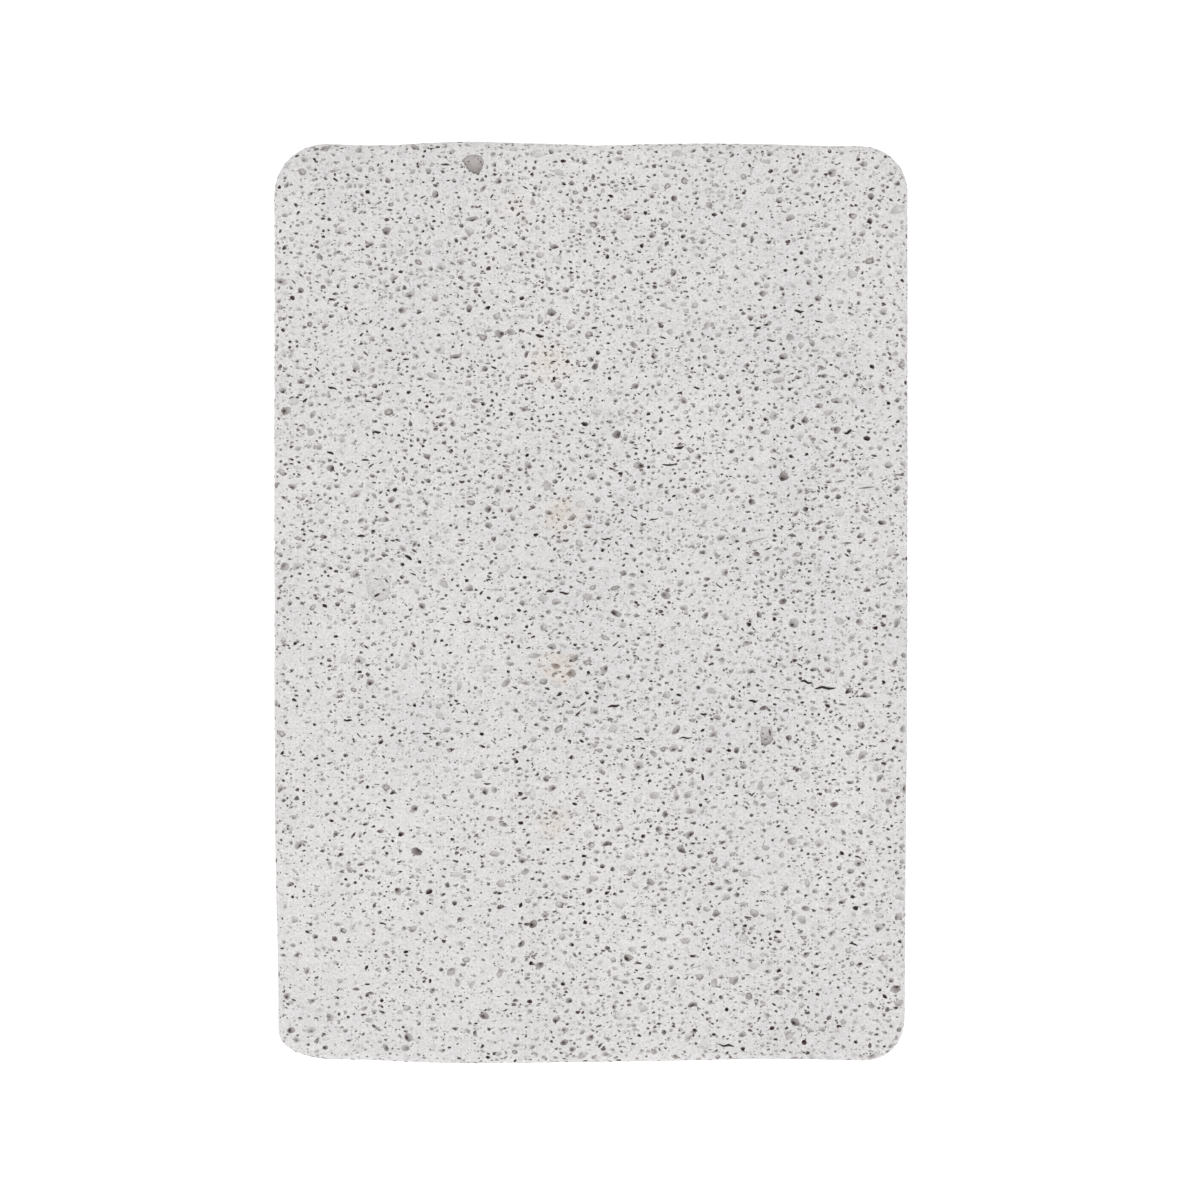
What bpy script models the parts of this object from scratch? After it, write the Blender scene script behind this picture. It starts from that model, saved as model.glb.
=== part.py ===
"""A pumice stone: one flat slab of natural pumice, for rubbing skin smooth.

The slab lies on its back, its long way along Y and its face up.  Seen from
above it is a rectangle with rounded corners, one of them blunter than the
rest, and its four sides wander by a few tenths of a millimetre.  Sawing the
slab opened the gas pores in the rock, so that both faces, the sides and the
two edges between them are full of pits.

Lengths are in millimetres up to the point where a mesh is made, in metres.
"""

import math
import random
from collections import namedtuple

import bmesh
import bpy
from mathutils import Vector

MM = 0.001

# Driving dimensions of the slab.
WIDTH = 62.0
LENGTH = 90.2
THICKNESS = 20.0
EDGE_RADIUS = 1.0

# How finely the curves are cut.
CORNER_STEPS = 8
EDGE_STEPS = 3
SIDE_STEP_LENGTH = 4.0

# A corner's reach along X and along Y, and the power of its curve: 2 is a true arc.
Corner = namedtuple("Corner", "reach_x reach_y power")
FAR_LEFT = Corner(5.1, 5.1, 2.0)
FAR_RIGHT = Corner(4.9, 4.9, 2.0)
NEAR_RIGHT = Corner(4.4, 4.4, 2.0)
NEAR_LEFT = Corner(6.0, 3.1, 1.7)

# Low swells (out) and hollows (in) of each side: where along it, how wide, how high.
Swell = namedtuple("Swell", "place spread height")
LEFT_SWELLS = [Swell(-41.0, 14.0, -0.40)]
RIGHT_SWELLS = [Swell(-41.0, 26.0, -0.27)]
FAR_SWELLS = [Swell(-21.5, 4.0, -0.20), Swell(-12.0, 4.0, 0.18), Swell(0.9, 4.5, -0.18), Swell(25.0, 7.0, -0.26)]
NEAR_SWELLS = [Swell(-24.5, 6.0, -0.30), Swell(-12.0, 6.0, 0.10), Swell(18.0, 11.0, -0.32)]

# A pit: its middle, its width and height, its turn in degrees and its kind.
Pit = namedtuple("Pit", "x y wide high turn kind")

# How a pit of each kind narrows, as (depth over its smaller width, size of the ring there).
# A last ring of size 0 is a point.
PROFILES = {
    "dish": [(0.22, 0.82)],
    "bowl": [(0.28, 0.78), (0.46, 0.0)],
    "cone": [(0.60, 0.0)],
    "hole": [(0.90, 0.55)],
    "slit": [(1.60, 0.60)],
}
RIM_POINTS = {"dish": 8, "bowl": 6, "cone": 5, "hole": 5, "slit": 6}

# The pits of the face that stand out, the far end first.
FACE_PITS = [
    Pit(-17.4, 42.0, 0.6, 0.5, 10, "bowl"),
    Pit(6.3, 40.5, 0.8, 0.8, 0, "dish"),
    Pit(8.1, 39.4, 0.7, 0.6, 40, "hole"),
    Pit(27.3, 39.6, 0.7, 0.7, 90, "bowl"),
    Pit(-11.6, 37.4, 1.3, 0.5, 8, "slit"),
    Pit(27.2, 37.2, 0.7, 0.6, 35, "hole"),
    Pit(15.7, 35.4, 0.9, 0.4, 85, "slit"),
    Pit(-3.6, 34.7, 0.9, 0.5, 0, "hole"),
    Pit(20.5, 34.1, 0.5, 0.5, 0, "hole"),
    Pit(-5.0, 33.9, 0.8, 0.7, 0, "bowl"),
    Pit(-27.5, 31.6, 0.6, 0.5, -10, "bowl"),
    Pit(-29.1, 29.7, 0.6, 0.5, -30, "hole"),
    Pit(-11.9, 28.6, 0.7, 0.6, 60, "hole"),
    Pit(20.3, 28.4, 1.0, 0.4, -8, "hole"),
    Pit(-9.2, 27.9, 0.8, 0.7, 0, "bowl"),
    Pit(14.1, 27.8, 1.1, 0.6, 8, "dish"),
    Pit(-5.0, 26.0, 0.9, 0.4, -12, "slit"),
    Pit(-13.2, 24.0, 1.2, 0.5, 5, "bowl"),
    Pit(0.4, 23.0, 0.8, 0.6, 55, "hole"),
    Pit(-15.4, 22.1, 1.4, 0.6, -18, "bowl"),
    Pit(4.3, 21.1, 0.8, 0.6, 10, "bowl"),
    Pit(23.1, 18.5, 1.0, 0.6, 10, "bowl"),
    Pit(-6.9, 17.4, 0.9, 0.8, 0, "dish"),
    Pit(-0.6, 17.4, 0.9, 0.5, -20, "hole"),
    Pit(-27.3, 16.6, 0.8, 0.8, 40, "bowl"),
    Pit(2.5, 16.4, 1.0, 0.8, 30, "hole"),
    Pit(26.9, 16.0, 0.8, 0.5, 0, "hole"),
    Pit(-25.4, 13.1, 0.9, 0.7, -20, "hole"),
    Pit(29.6, 12.5, 1.5, 0.2, -5, "slit"),
    Pit(18.8, 12.3, 1.0, 1.0, -30, "bowl"),
    Pit(27.0, 11.3, 2.1, 0.2, 16, "slit"),
    Pit(-19.1, 11.0, 0.6, 0.6, -40, "hole"),
    Pit(15.7, 9.8, 0.8, 0.6, 0, "hole"),
    Pit(20.9, 9.1, 0.6, 0.6, 0, "hole"),
    Pit(24.2, 8.8, 1.1, 0.9, 0, "dish"),
    Pit(-26.3, 7.8, 0.6, 0.6, 0, "bowl"),
    Pit(1.6, 6.0, 1.8, 0.3, 0, "slit"),
    Pit(-17.8, 4.4, 0.9, 0.4, -30, "hole"),
    Pit(18.7, 0.1, 0.9, 0.6, 20, "hole"),
    Pit(16.4, -1.2, 0.8, 0.5, -70, "hole"),
    Pit(19.8, -2.0, 1.1, 1.0, 0, "dish"),
    Pit(-4.6, -2.4, 0.8, 0.7, 0, "bowl"),
    Pit(-17.3, -4.1, 0.7, 0.4, -60, "hole"),
    Pit(-5.6, -5.2, 1.5, 0.5, 6, "bowl"),
    Pit(21.0, -7.7, 1.2, 0.3, -14, "slit"),
    Pit(22.7, -8.4, 2.1, 0.4, -3, "slit"),
    Pit(19.2, -8.6, 1.7, 0.4, -8, "slit"),
    Pit(25.2, -8.6, 1.0, 0.5, 35, "hole"),
    Pit(15.8, -9.6, 0.9, 0.3, -12, "slit"),
    Pit(-20.5, -13.6, 0.6, 0.5, 30, "hole"),
    Pit(4.7, -15.9, 0.9, 1.0, -20, "bowl"),
    Pit(-11.0, -16.8, 0.8, 0.9, 20, "bowl"),
    Pit(16.5, -17.9, 0.7, 0.9, -20, "bowl"),
    Pit(6.2, -18.8, 1.0, 0.8, 0, "bowl"),
    Pit(23.7, -19.7, 0.9, 0.6, 5, "hole"),
    Pit(17.0, -23.9, 0.9, 0.6, -20, "bowl"),
    Pit(8.8, -24.1, 1.1, 0.6, -25, "hole"),
    Pit(-17.0, -24.3, 1.2, 0.8, -15, "hole"),
    Pit(-9.5, -24.5, 1.0, 0.6, -10, "bowl"),
    Pit(3.7, -24.7, 0.9, 1.0, 0, "dish"),
    Pit(-13.1, -26.5, 1.1, 0.6, -5, "dish"),
    Pit(-8.8, -27.4, 0.9, 0.8, -50, "dish"),
    Pit(-0.2, -28.1, 0.7, 0.6, 15, "hole"),
    Pit(-15.8, -28.2, 0.9, 0.7, 20, "hole"),
    Pit(-28.9, -30.9, 0.7, 0.8, 20, "bowl"),
    Pit(12.0, -37.1, 0.7, 0.9, 0, "bowl"),
    Pit(9.9, -39.2, 1.0, 0.5, 15, "hole"),
    Pit(-10.4, -40.3, 1.0, 0.7, -10, "hole"),
    Pit(19.9, -40.9, 1.0, 0.8, -30, "hole"),
    Pit(-29.2, -41.8, 0.8, 0.9, 0, "hole"),
    Pit(19.3, -42.2, 0.9, 0.8, 0, "bowl"),
    Pit(-17.8, -42.4, 0.9, 0.8, -25, "hole"),
    Pit(-2.6, -42.9, 0.9, 0.6, 25, "hole"),
    Pit(20.8, -42.9, 0.6, 0.6, 0, "hole"),
    Pit(13.2, -43.2, 1.7, 0.3, -5, "slit"),
    Pit(-20.0, -43.4, 0.9, 0.5, -55, "bowl"),
    Pit(14.8, -43.5, 0.5, 0.5, 0, "hole"),
]

# Three large pits of the face with outlines of their own: middle, depth, rim round the middle.
Dish = namedtuple("Dish", "x y depth rim")
CHIPPED_DISH = Dish(-11.5, 42.7, 0.9, [
    (1.02, -0.05), (1.01, 0.38), (0.85, 0.78), (0.38, 0.97), (-0.14, 0.99), (-0.61, 0.90), (-1.08, 0.38),
    (-0.85, 0.02), (-0.66, -0.28), (-0.44, -0.66), (-0.14, -0.74), (0.19, -0.94), (0.45, -1.02),
    (0.66, -0.85), (0.82, -0.47),
])
SHALLOW_OVAL = Dish(-20.7, 1.9, 0.3, [
    (1.18, 0.30), (0.95, 0.95), (0.50, 1.50), (-0.10, 1.80), (-0.70, 1.40), (-1.10, 0.75), (-1.22, 0.0),
    (-1.15, -0.65), (-0.95, -1.15), (-0.50, -1.60), (0.20, -1.80), (0.75, -1.60), (1.05, -1.00),
])
SQUARE_PIT = Dish(17.1, -13.0, 0.7, [
    (0.66, -0.35), (0.58, 0.10), (0.52, 0.85), (0.05, 0.80), (-0.52, 0.86), (-0.60, 0.10), (-0.55, -0.85),
    (-0.10, -0.92), (0.42, -0.70),
])
FACE_DISHES = [CHIPPED_DISH, SHALLOW_OVAL, SQUARE_PIT]

# Pits that fill the rest: how many, their least and greatest width, and the least wall between two.
FACE_COUNT = 150
BACK_COUNT = 100
SIDE_COUNT = 110
EDGE_COUNT = 30
PIT_WIDTHS = (0.60, 1.05)
EDGE_PIT_WIDTHS = (0.45, 0.70)
WALL = 0.35
SEED = 417

# The middle of the back has no pit this near, so that there it rests on whole stone.
REST_RADIUS = 2.0

# The plugs that cut the pits stand this far out of the surface.
PLUG_LIFT = 0.10
EDGE_PLUG_LIFT = 0.22


def clear_scene():
    """Remove every object of the scene."""
    for item in list(bpy.data.objects):
        bpy.data.objects.remove(item, do_unlink=True)


def rise(swells, along):
    """How far a side's swells push it out at a place along it."""
    return sum(swell.height * math.exp(-((along - swell.place) / swell.spread) ** 2) for swell in swells)


def swollen(x, y, share_x, share_y):
    """A point of the plain outline, moved by the swells of the sides that it belongs to."""
    side_x = RIGHT_SWELLS if x > 0 else LEFT_SWELLS
    side_y = FAR_SWELLS if y > 0 else NEAR_SWELLS
    moved_x = x + math.copysign(share_x * rise(side_x, y), x)
    moved_y = y + math.copysign(share_y * rise(side_y, x), y)
    return moved_x, moved_y


def corner_points(sign_x, sign_y, corner):
    """A corner's points from its X side round to its Y side, with their share in each side."""
    points = []
    for step in range(CORNER_STEPS + 1):
        turn = math.radians(90.0 * step / CORNER_STEPS)
        bend_x = corner.reach_x * (1.0 - max(math.cos(turn), 0.0) ** (2.0 / corner.power))
        bend_y = corner.reach_y * (1.0 - math.sin(turn) ** (2.0 / corner.power))
        x = sign_x * (WIDTH / 2 - bend_x)
        y = sign_y * (LENGTH / 2 - bend_y)
        points.append((x, y, math.cos(turn) ** 2, math.sin(turn) ** 2))
    return points


def side_points(start, end):
    """Points between two corners, in steps of about the side step length."""
    length = math.dist(start[:2], end[:2])
    steps = round(length / SIDE_STEP_LENGTH)
    points = []
    for step in range(1, steps):
        share = step / steps
        points.append(tuple(a + (b - a) * share for a, b in zip(start, end)))
    return points


def outline():
    """The slab's outline seen from above, anticlockwise, its box centred and at full size."""
    corners = [
        corner_points(1, 1, FAR_RIGHT),
        corner_points(-1, 1, FAR_LEFT)[::-1],
        corner_points(-1, -1, NEAR_LEFT),
        corner_points(1, -1, NEAR_RIGHT)[::-1],
    ]
    plain = []
    for index, corner in enumerate(corners):
        following = corners[(index + 1) % len(corners)]
        plain.extend(corner)
        plain.extend(side_points(corner[-1], following[0]))
    points = [swollen(*point) for point in plain]
    low_x, high_x = min(x for x, y in points), max(x for x, y in points)
    low_y, high_y = min(y for x, y in points), max(y for x, y in points)
    scale_x = WIDTH / (high_x - low_x)
    scale_y = LENGTH / (high_y - low_y)
    return [((x - (low_x + high_x) / 2) * scale_x, (y - (low_y + high_y) / 2) * scale_y) for x, y in points]


def outward(points, index):
    """The outward direction at a point of the outline, and how far it reaches past a unit inset."""
    before = Vector(points[index - 1])
    here = Vector(points[index])
    after = Vector(points[(index + 1) % len(points)])
    way_in = (here - before).normalized()
    way_out = (after - here).normalized()
    normal_in = Vector((way_in.y, -way_in.x))
    normal_out = Vector((way_out.y, -way_out.x))
    middle = (normal_in + normal_out).normalized()
    return middle / middle.dot(normal_in)


def slab_mesh(points):
    """The slab: level rings from the back, over the rounded edges, to the face."""
    levels = []
    for step in range(EDGE_STEPS + 1):
        turn = math.radians(90.0 * step / EDGE_STEPS)
        levels.append((EDGE_RADIUS * (1.0 - math.sin(turn)), EDGE_RADIUS * (1.0 - math.cos(turn))))
    levels += [(inset, THICKNESS - height) for inset, height in reversed(levels)]
    normals = [outward(points, index) for index in range(len(points))]
    build = bmesh.new()
    rings = []
    for inset, height in levels:
        ring = []
        for (x, y), normal in zip(points, normals):
            ring.append(build.verts.new(Vector((x - normal.x * inset, y - normal.y * inset, height)) * MM))
        rings.append(ring)
    for lower, upper in zip(rings, rings[1:]):
        for index in range(len(points)):
            build.faces.new((lower[index - 1], lower[index], upper[index], upper[index - 1]))
    build.faces.new(rings[0][::-1])
    build.faces.new(rings[-1])
    mesh = bpy.data.meshes.new("pumice_stone")
    build.to_mesh(mesh)
    build.free()
    mesh.shade_smooth()
    mesh.set_sharp_from_angle(angle=math.radians(35.0))
    return mesh


class Place:
    """A spot on the surface: its origin, two directions along the surface and the way out."""

    def __init__(self, origin, along, out):
        self.origin = Vector(origin)
        self.along = Vector(along).normalized()
        self.out = Vector(out).normalized()
        self.across = self.out.cross(self.along)

    def point(self, u, v, depth):
        """The point u along and v across the surface, at a depth under it, in metres."""
        return (self.origin + self.along * u + self.across * v - self.out * depth) * MM


def add_plug(build, place, rim, profile, lift):
    """A closed plug: a ring standing out of the surface, the rings below it and its end."""
    first_depth, first_size = profile[0]
    top_size = 1.0 + (1.0 - first_size) * lift / first_depth
    rings = []
    for depth, size in [(-lift, top_size)] + profile:
        if size == 0.0:
            rings.append([build.verts.new(place.point(0.0, 0.0, depth))])
        else:
            rings.append([build.verts.new(place.point(u * size, v * size, depth)) for u, v in rim])
    build.faces.new(rings[0])
    for upper, lower in zip(rings, rings[1:]):
        for index in range(len(rim)):
            if len(lower) == 1:
                build.faces.new((upper[index], upper[index - 1], lower[0]))
            else:
                build.faces.new((upper[index], upper[index - 1], lower[index - 1], lower[index]))
    if len(rings[-1]) > 1:
        build.faces.new(rings[-1][::-1])


def uneven_rim(rng, pit):
    """An uneven oval of points round a pit's middle, anticlockwise seen from outside."""
    count = RIM_POINTS[pit.kind]
    turn = math.radians(pit.turn)
    rim = []
    for index in range(count):
        angle = 2.0 * math.pi * (index + rng.uniform(-0.18, 0.18)) / count
        reach = rng.uniform(0.90, 1.10)
        u = pit.wide / 2 * reach * math.cos(angle)
        v = pit.high / 2 * reach * math.sin(angle)
        rim.append((u * math.cos(turn) - v * math.sin(turn), u * math.sin(turn) + v * math.cos(turn)))
    return rim


def pit_profile(pit):
    """The rings of a pit's kind, with their depths in millimetres."""
    smaller = min(pit.wide, pit.high)
    return [(depth * smaller, size) for depth, size in PROFILES[pit.kind]]


def is_clear(x, y, radius, taken, round_trip=None):
    """Whether a pit leaves a wall between itself and every pit taken so far."""
    for other_x, other_y, other_radius in taken:
        gap_x = abs(x - other_x)
        if round_trip:
            gap_x = min(gap_x, round_trip - gap_x)
        if math.hypot(gap_x, y - other_y) < radius + other_radius + WALL:
            return False
    return True


def scatter(rng, count, spot, widths, taken, round_trip=None):
    """Throw pits of uneven sizes at random spots, and keep those clear of the rest."""
    pits = []
    while len(pits) < count:
        x, y = spot(rng)
        wide = widths[0] + (widths[1] - widths[0]) * rng.random() ** 2
        high = wide * rng.uniform(0.55, 0.90)
        turn = rng.gauss(0.0, 14.0)
        kind = rng.choice(["cone", "cone", "hole"])
        if is_clear(x, y, wide / 2, taken, round_trip):
            taken.append((x, y, wide / 2))
            pits.append(Pit(x, y, wide, high, turn, kind))
    return pits


def inside_by(x, y, margin):
    """Whether a spot of a face lies inside the outline's box by a margin, corners cut off."""
    away_x = WIDTH / 2 - margin - abs(x)
    away_y = LENGTH / 2 - margin - abs(y)
    return away_x > 0.0 and away_y > 0.0 and away_x + away_y > 3.0


def face_spot(rng):
    """A random spot on a face, clear of its rounded edge."""
    while True:
        x = rng.uniform(-WIDTH / 2, WIDTH / 2)
        y = rng.uniform(-LENGTH / 2, LENGTH / 2)
        if inside_by(x, y, EDGE_RADIUS + PIT_WIDTHS[1]):
            return x, y


def upper_face_spot(rng):
    """A random spot on the face, where the near left quarter has fewer pits."""
    while True:
        x, y = face_spot(rng)
        sparse = x < -10.0 and y < 0.0
        if not sparse or rng.random() < 0.6:
            return x, y


class Rim:
    """The outline as a road: a spot and its directions for each distance along it."""

    def __init__(self, points):
        self.points = [Vector(point) for point in points]
        self.marks = [0.0]
        for index in range(len(points)):
            step = self.points[(index + 1) % len(points)] - self.points[index]
            self.marks.append(self.marks[-1] + step.length)
        self.length = self.marks[-1]

    def at(self, distance):
        """The point, the way along and the way out at a distance from the first point."""
        index = max(i for i, mark in enumerate(self.marks[:-1]) if mark <= distance)
        start = self.points[index]
        along = (self.points[(index + 1) % len(self.points)] - start).normalized()
        return start + along * (distance - self.marks[index]), along, Vector((along.y, -along.x))


def cut_upper_face(build, rng):
    """Pits of the face: the three large ones, those that stand out and the rest."""
    taken = []
    for dish in FACE_DISHES:
        taken.append((dish.x, dish.y, max(math.hypot(u, v) for u, v in dish.rim)))
        place = Place((dish.x, dish.y, THICKNESS), (1, 0, 0), (0, 0, 1))
        add_plug(build, place, dish.rim, [(dish.depth, 0.86)], PLUG_LIFT)
    taken += [(pit.x, pit.y, pit.wide / 2) for pit in FACE_PITS]
    for pit in FACE_PITS + scatter(rng, FACE_COUNT, upper_face_spot, PIT_WIDTHS, taken):
        place = Place((pit.x, pit.y, THICKNESS), (1, 0, 0), (0, 0, 1))
        add_plug(build, place, uneven_rim(rng, pit), pit_profile(pit), PLUG_LIFT)


def cut_back(build, rng):
    """Pits of the back, none of them in its middle."""
    taken = [(0.0, 0.0, REST_RADIUS)]
    for pit in scatter(rng, BACK_COUNT, face_spot, PIT_WIDTHS, taken):
        place = Place((pit.x, pit.y, 0.0), (-1, 0, 0), (0, 0, -1))
        add_plug(build, place, uneven_rim(rng, pit), pit_profile(pit), PLUG_LIFT)


def cut_sides(build, rng, rim):
    """Pits of the four sides, between the two rounded edges."""
    margin = EDGE_RADIUS + PIT_WIDTHS[1] / 2

    def side_spot(source):
        return source.uniform(0.0, rim.length), source.uniform(margin, THICKNESS - margin)

    for pit in scatter(rng, SIDE_COUNT, side_spot, PIT_WIDTHS, [], rim.length):
        spot, along, out = rim.at(pit.x)
        place = Place((spot.x, spot.y, pit.y), (along.x, along.y, 0), (out.x, out.y, 0))
        add_plug(build, place, uneven_rim(rng, pit), pit_profile(pit), PLUG_LIFT)


def cut_edges(build, rng, rim):
    """Small pits along the middle of each rounded edge."""
    slant = math.sqrt(0.5)
    sunk = EDGE_RADIUS * (1.0 - slant)
    for level, way in ((THICKNESS - sunk, 1.0), (sunk, -1.0)):

        def edge_spot(source):
            return source.uniform(0.0, rim.length), 0.0

        for pit in scatter(rng, EDGE_COUNT, edge_spot, EDGE_PIT_WIDTHS, [], rim.length):
            spot, along, out = rim.at(pit.x)
            middle = spot - out * sunk
            place = Place((middle.x, middle.y, level), (along.x, along.y, 0), (out.x * slant, out.y * slant, way * slant))
            flat_pit = pit._replace(kind="cone", turn=0.0)
            add_plug(build, place, uneven_rim(rng, flat_pit), pit_profile(flat_pit), EDGE_PLUG_LIFT)


def pit_plugs(points):
    """All the plugs in one wire object, which the slab is cut by."""
    rng = random.Random(SEED)
    rim = Rim(points)
    build = bmesh.new()
    cut_upper_face(build, rng)
    cut_back(build, rng)
    cut_sides(build, rng, rim)
    cut_edges(build, rng, rim)
    mesh = bpy.data.meshes.new("pit_plugs")
    build.to_mesh(mesh)
    build.free()
    plugs = bpy.data.objects.new("pit_plugs", mesh)
    plugs.display_type = "WIRE"
    plugs.hide_render = True
    bpy.context.scene.collection.objects.link(plugs)
    return plugs


def pumice_material():
    """Off-white rock, dull all over."""
    material = bpy.data.materials.new("pumice")
    material.use_nodes = True
    shader = material.node_tree.nodes["Principled BSDF"]
    shader.inputs["Base Color"].default_value = (0.66, 0.65, 0.64, 1.0)
    shader.inputs["Roughness"].default_value = 0.95
    shader.inputs["Metallic"].default_value = 0.0
    return material


def main():
    """Build the slab and cut its pits."""
    clear_scene()
    points = outline()
    stone = bpy.data.objects.new("pumice_stone", slab_mesh(points))
    stone.data.materials.append(pumice_material())
    bpy.context.scene.collection.objects.link(stone)
    cut = stone.modifiers.new("pits", "BOOLEAN")
    cut.operation = "DIFFERENCE"
    cut.solver = "EXACT"
    cut.object = pit_plugs(points)


main()
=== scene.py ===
"""A pumice stone, dressed: a sawn slab of pale pumice with thousands of open pores.

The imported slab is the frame.  One closed mesh stands for it: both faces, the
two rounded edges and the four sides, with every larger pore cut in as a pit
of its own.  The finest pores and the grain belong to the rock's finish.

Lengths are in millimetres, and in metres once a mesh, a lamp or a material is made.
"""

from __future__ import annotations

import logging
import math
import random
from bisect import bisect_right
from collections.abc import Callable, Iterator
from dataclasses import dataclass, field
from enum import Enum

import bpy
import numpy as np
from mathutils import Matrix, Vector, noise
from mathutils.geometry import delaunay_2d_cdt


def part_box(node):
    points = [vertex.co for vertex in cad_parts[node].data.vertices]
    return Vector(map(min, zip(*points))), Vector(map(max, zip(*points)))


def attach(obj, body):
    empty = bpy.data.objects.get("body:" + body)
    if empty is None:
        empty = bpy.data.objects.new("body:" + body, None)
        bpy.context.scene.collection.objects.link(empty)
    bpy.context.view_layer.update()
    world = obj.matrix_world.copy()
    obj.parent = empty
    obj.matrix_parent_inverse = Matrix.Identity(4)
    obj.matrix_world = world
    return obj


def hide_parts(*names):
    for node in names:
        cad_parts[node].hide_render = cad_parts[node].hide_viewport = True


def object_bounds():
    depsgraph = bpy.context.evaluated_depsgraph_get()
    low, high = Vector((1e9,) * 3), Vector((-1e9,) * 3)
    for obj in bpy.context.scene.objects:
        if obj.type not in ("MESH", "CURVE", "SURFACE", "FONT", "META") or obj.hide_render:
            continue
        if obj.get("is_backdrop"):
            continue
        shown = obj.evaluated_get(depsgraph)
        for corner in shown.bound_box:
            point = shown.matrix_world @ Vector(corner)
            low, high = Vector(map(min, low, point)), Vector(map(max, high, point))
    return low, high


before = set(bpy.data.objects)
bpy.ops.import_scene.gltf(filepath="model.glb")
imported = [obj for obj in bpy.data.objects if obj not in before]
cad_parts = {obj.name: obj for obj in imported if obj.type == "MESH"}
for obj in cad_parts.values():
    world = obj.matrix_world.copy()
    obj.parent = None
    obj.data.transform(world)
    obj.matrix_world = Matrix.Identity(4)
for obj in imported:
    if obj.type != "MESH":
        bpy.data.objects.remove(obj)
CAD_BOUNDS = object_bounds()

LOG = logging.getLogger("pumice_stone")
MM = 0.001
NODE = "pumice_stone"


# ---- The slab without its pores ----


@dataclass(frozen=True)
class Corner:
    """A rounded corner of the slab's outline."""

    reach_x: float
    reach_y: float
    power: float = 2.0  # 2 is a true arc, less is blunter


@dataclass(frozen=True)
class Swell:
    """A low swell of one side of the outline, or a hollow where its height is negative."""

    place: float  # where along the side its middle is
    spread: float
    height: float  # how far it pushes the side out

    def at(self, along: float) -> float:
        """Return its height at a place along the side."""
        return self.height * math.exp(-(((along - self.place) / self.spread) ** 2))


@dataclass(frozen=True)
class SlabForm:
    """The slab's body: a rectangle with rounded corners, uneven sides and softened edges."""

    width: float  # along X
    length: float  # along Y
    thickness: float
    edge: float = 1.0  # the radius round each face
    far_left: Corner = Corner(5.1, 5.1)
    far_right: Corner = Corner(4.9, 4.9)
    near_right: Corner = Corner(4.4, 4.4)
    near_left: Corner = Corner(6.0, 3.1, 1.7)
    # the swells of the left and right side are placed by y, the others' by x
    left: tuple[Swell, ...] = (Swell(-41.0, 14.0, -0.40),)
    right: tuple[Swell, ...] = (Swell(-41.0, 26.0, -0.27),)
    far: tuple[Swell, ...] = (
        Swell(-21.5, 4.0, -0.20), Swell(-12.0, 4.0, 0.18), Swell(0.9, 4.5, -0.18), Swell(25.0, 7.0, -0.26),
    )
    near: tuple[Swell, ...] = (Swell(-24.5, 6.0, -0.30), Swell(-12.0, 6.0, 0.10), Swell(18.0, 11.0, -0.32))
    corner_steps: int = 24
    side_step: float = 0.8

    @classmethod
    def packed(cls) -> SlabForm:
        """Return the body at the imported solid's size."""
        low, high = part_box(NODE)
        return cls(*((high - low) / MM))

    def _corner(self, sign_x: int, sign_y: int, corner: Corner) -> list[tuple[float, float, float, float]]:
        """Walk a corner of the flat face from its X side to its Y side.

        Args:
            sign_x: 1 for a corner on the right, -1 on the left.
            sign_y: 1 for a far corner, -1 for a near one.
            corner: The corner's shape.

        Returns:
            Points as (x, y, share in the X side, share in the Y side).
        """
        points = []
        for step in range(self.corner_steps + 1):
            turn = math.radians(90.0 * step / self.corner_steps)
            cosine, sine = max(math.cos(turn), 0.0), math.sin(turn)
            bend_x = (corner.reach_x - self.edge) * (1.0 - cosine ** (2.0 / corner.power))
            bend_y = (corner.reach_y - self.edge) * (1.0 - sine ** (2.0 / corner.power))
            x = sign_x * (self.width / 2 - self.edge - bend_x)
            y = sign_y * (self.length / 2 - self.edge - bend_y)
            points.append((x, y, cosine ** 2, sine ** 2))
        return points

    def _swollen(self, x: float, y: float, share_x: float, share_y: float) -> tuple[float, float]:
        """Move a point of the plain outline by the swells of its sides.

        Args:
            x: The point's x.
            y: The point's y.
            share_x: How much of it belongs to its X side.
            share_y: How much of it belongs to its Y side.

        Returns:
            The moved point.
        """
        side_x = self.right if x > 0 else self.left
        side_y = self.far if y > 0 else self.near
        out_x = share_x * sum(swell.at(y) for swell in side_x)
        out_y = share_y * sum(swell.at(x) for swell in side_y)
        return x + math.copysign(1.0, x) * out_x, y + math.copysign(1.0, y) * out_y

    def rim_points(self) -> np.ndarray:
        """Draw the line where the flat of a face ends, anticlockwise from above.

        Returns:
            The line's points, one row each.
        """
        corners = [
            self._corner(1, 1, self.far_right),
            self._corner(-1, 1, self.far_left)[::-1],
            self._corner(-1, -1, self.near_left),
            self._corner(1, -1, self.near_right)[::-1],
        ]
        plain = []
        for index, corner in enumerate(corners):
            start, end = np.array(corner[-1]), np.array(corners[(index + 1) % 4][0])
            steps = round(math.dist(start[:2], end[:2]) / self.side_step)
            plain.extend(corner)
            plain.extend(tuple(start + (end - start) * step / steps) for step in range(1, steps))
        return np.array([self._swollen(*point) for point in plain])


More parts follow.
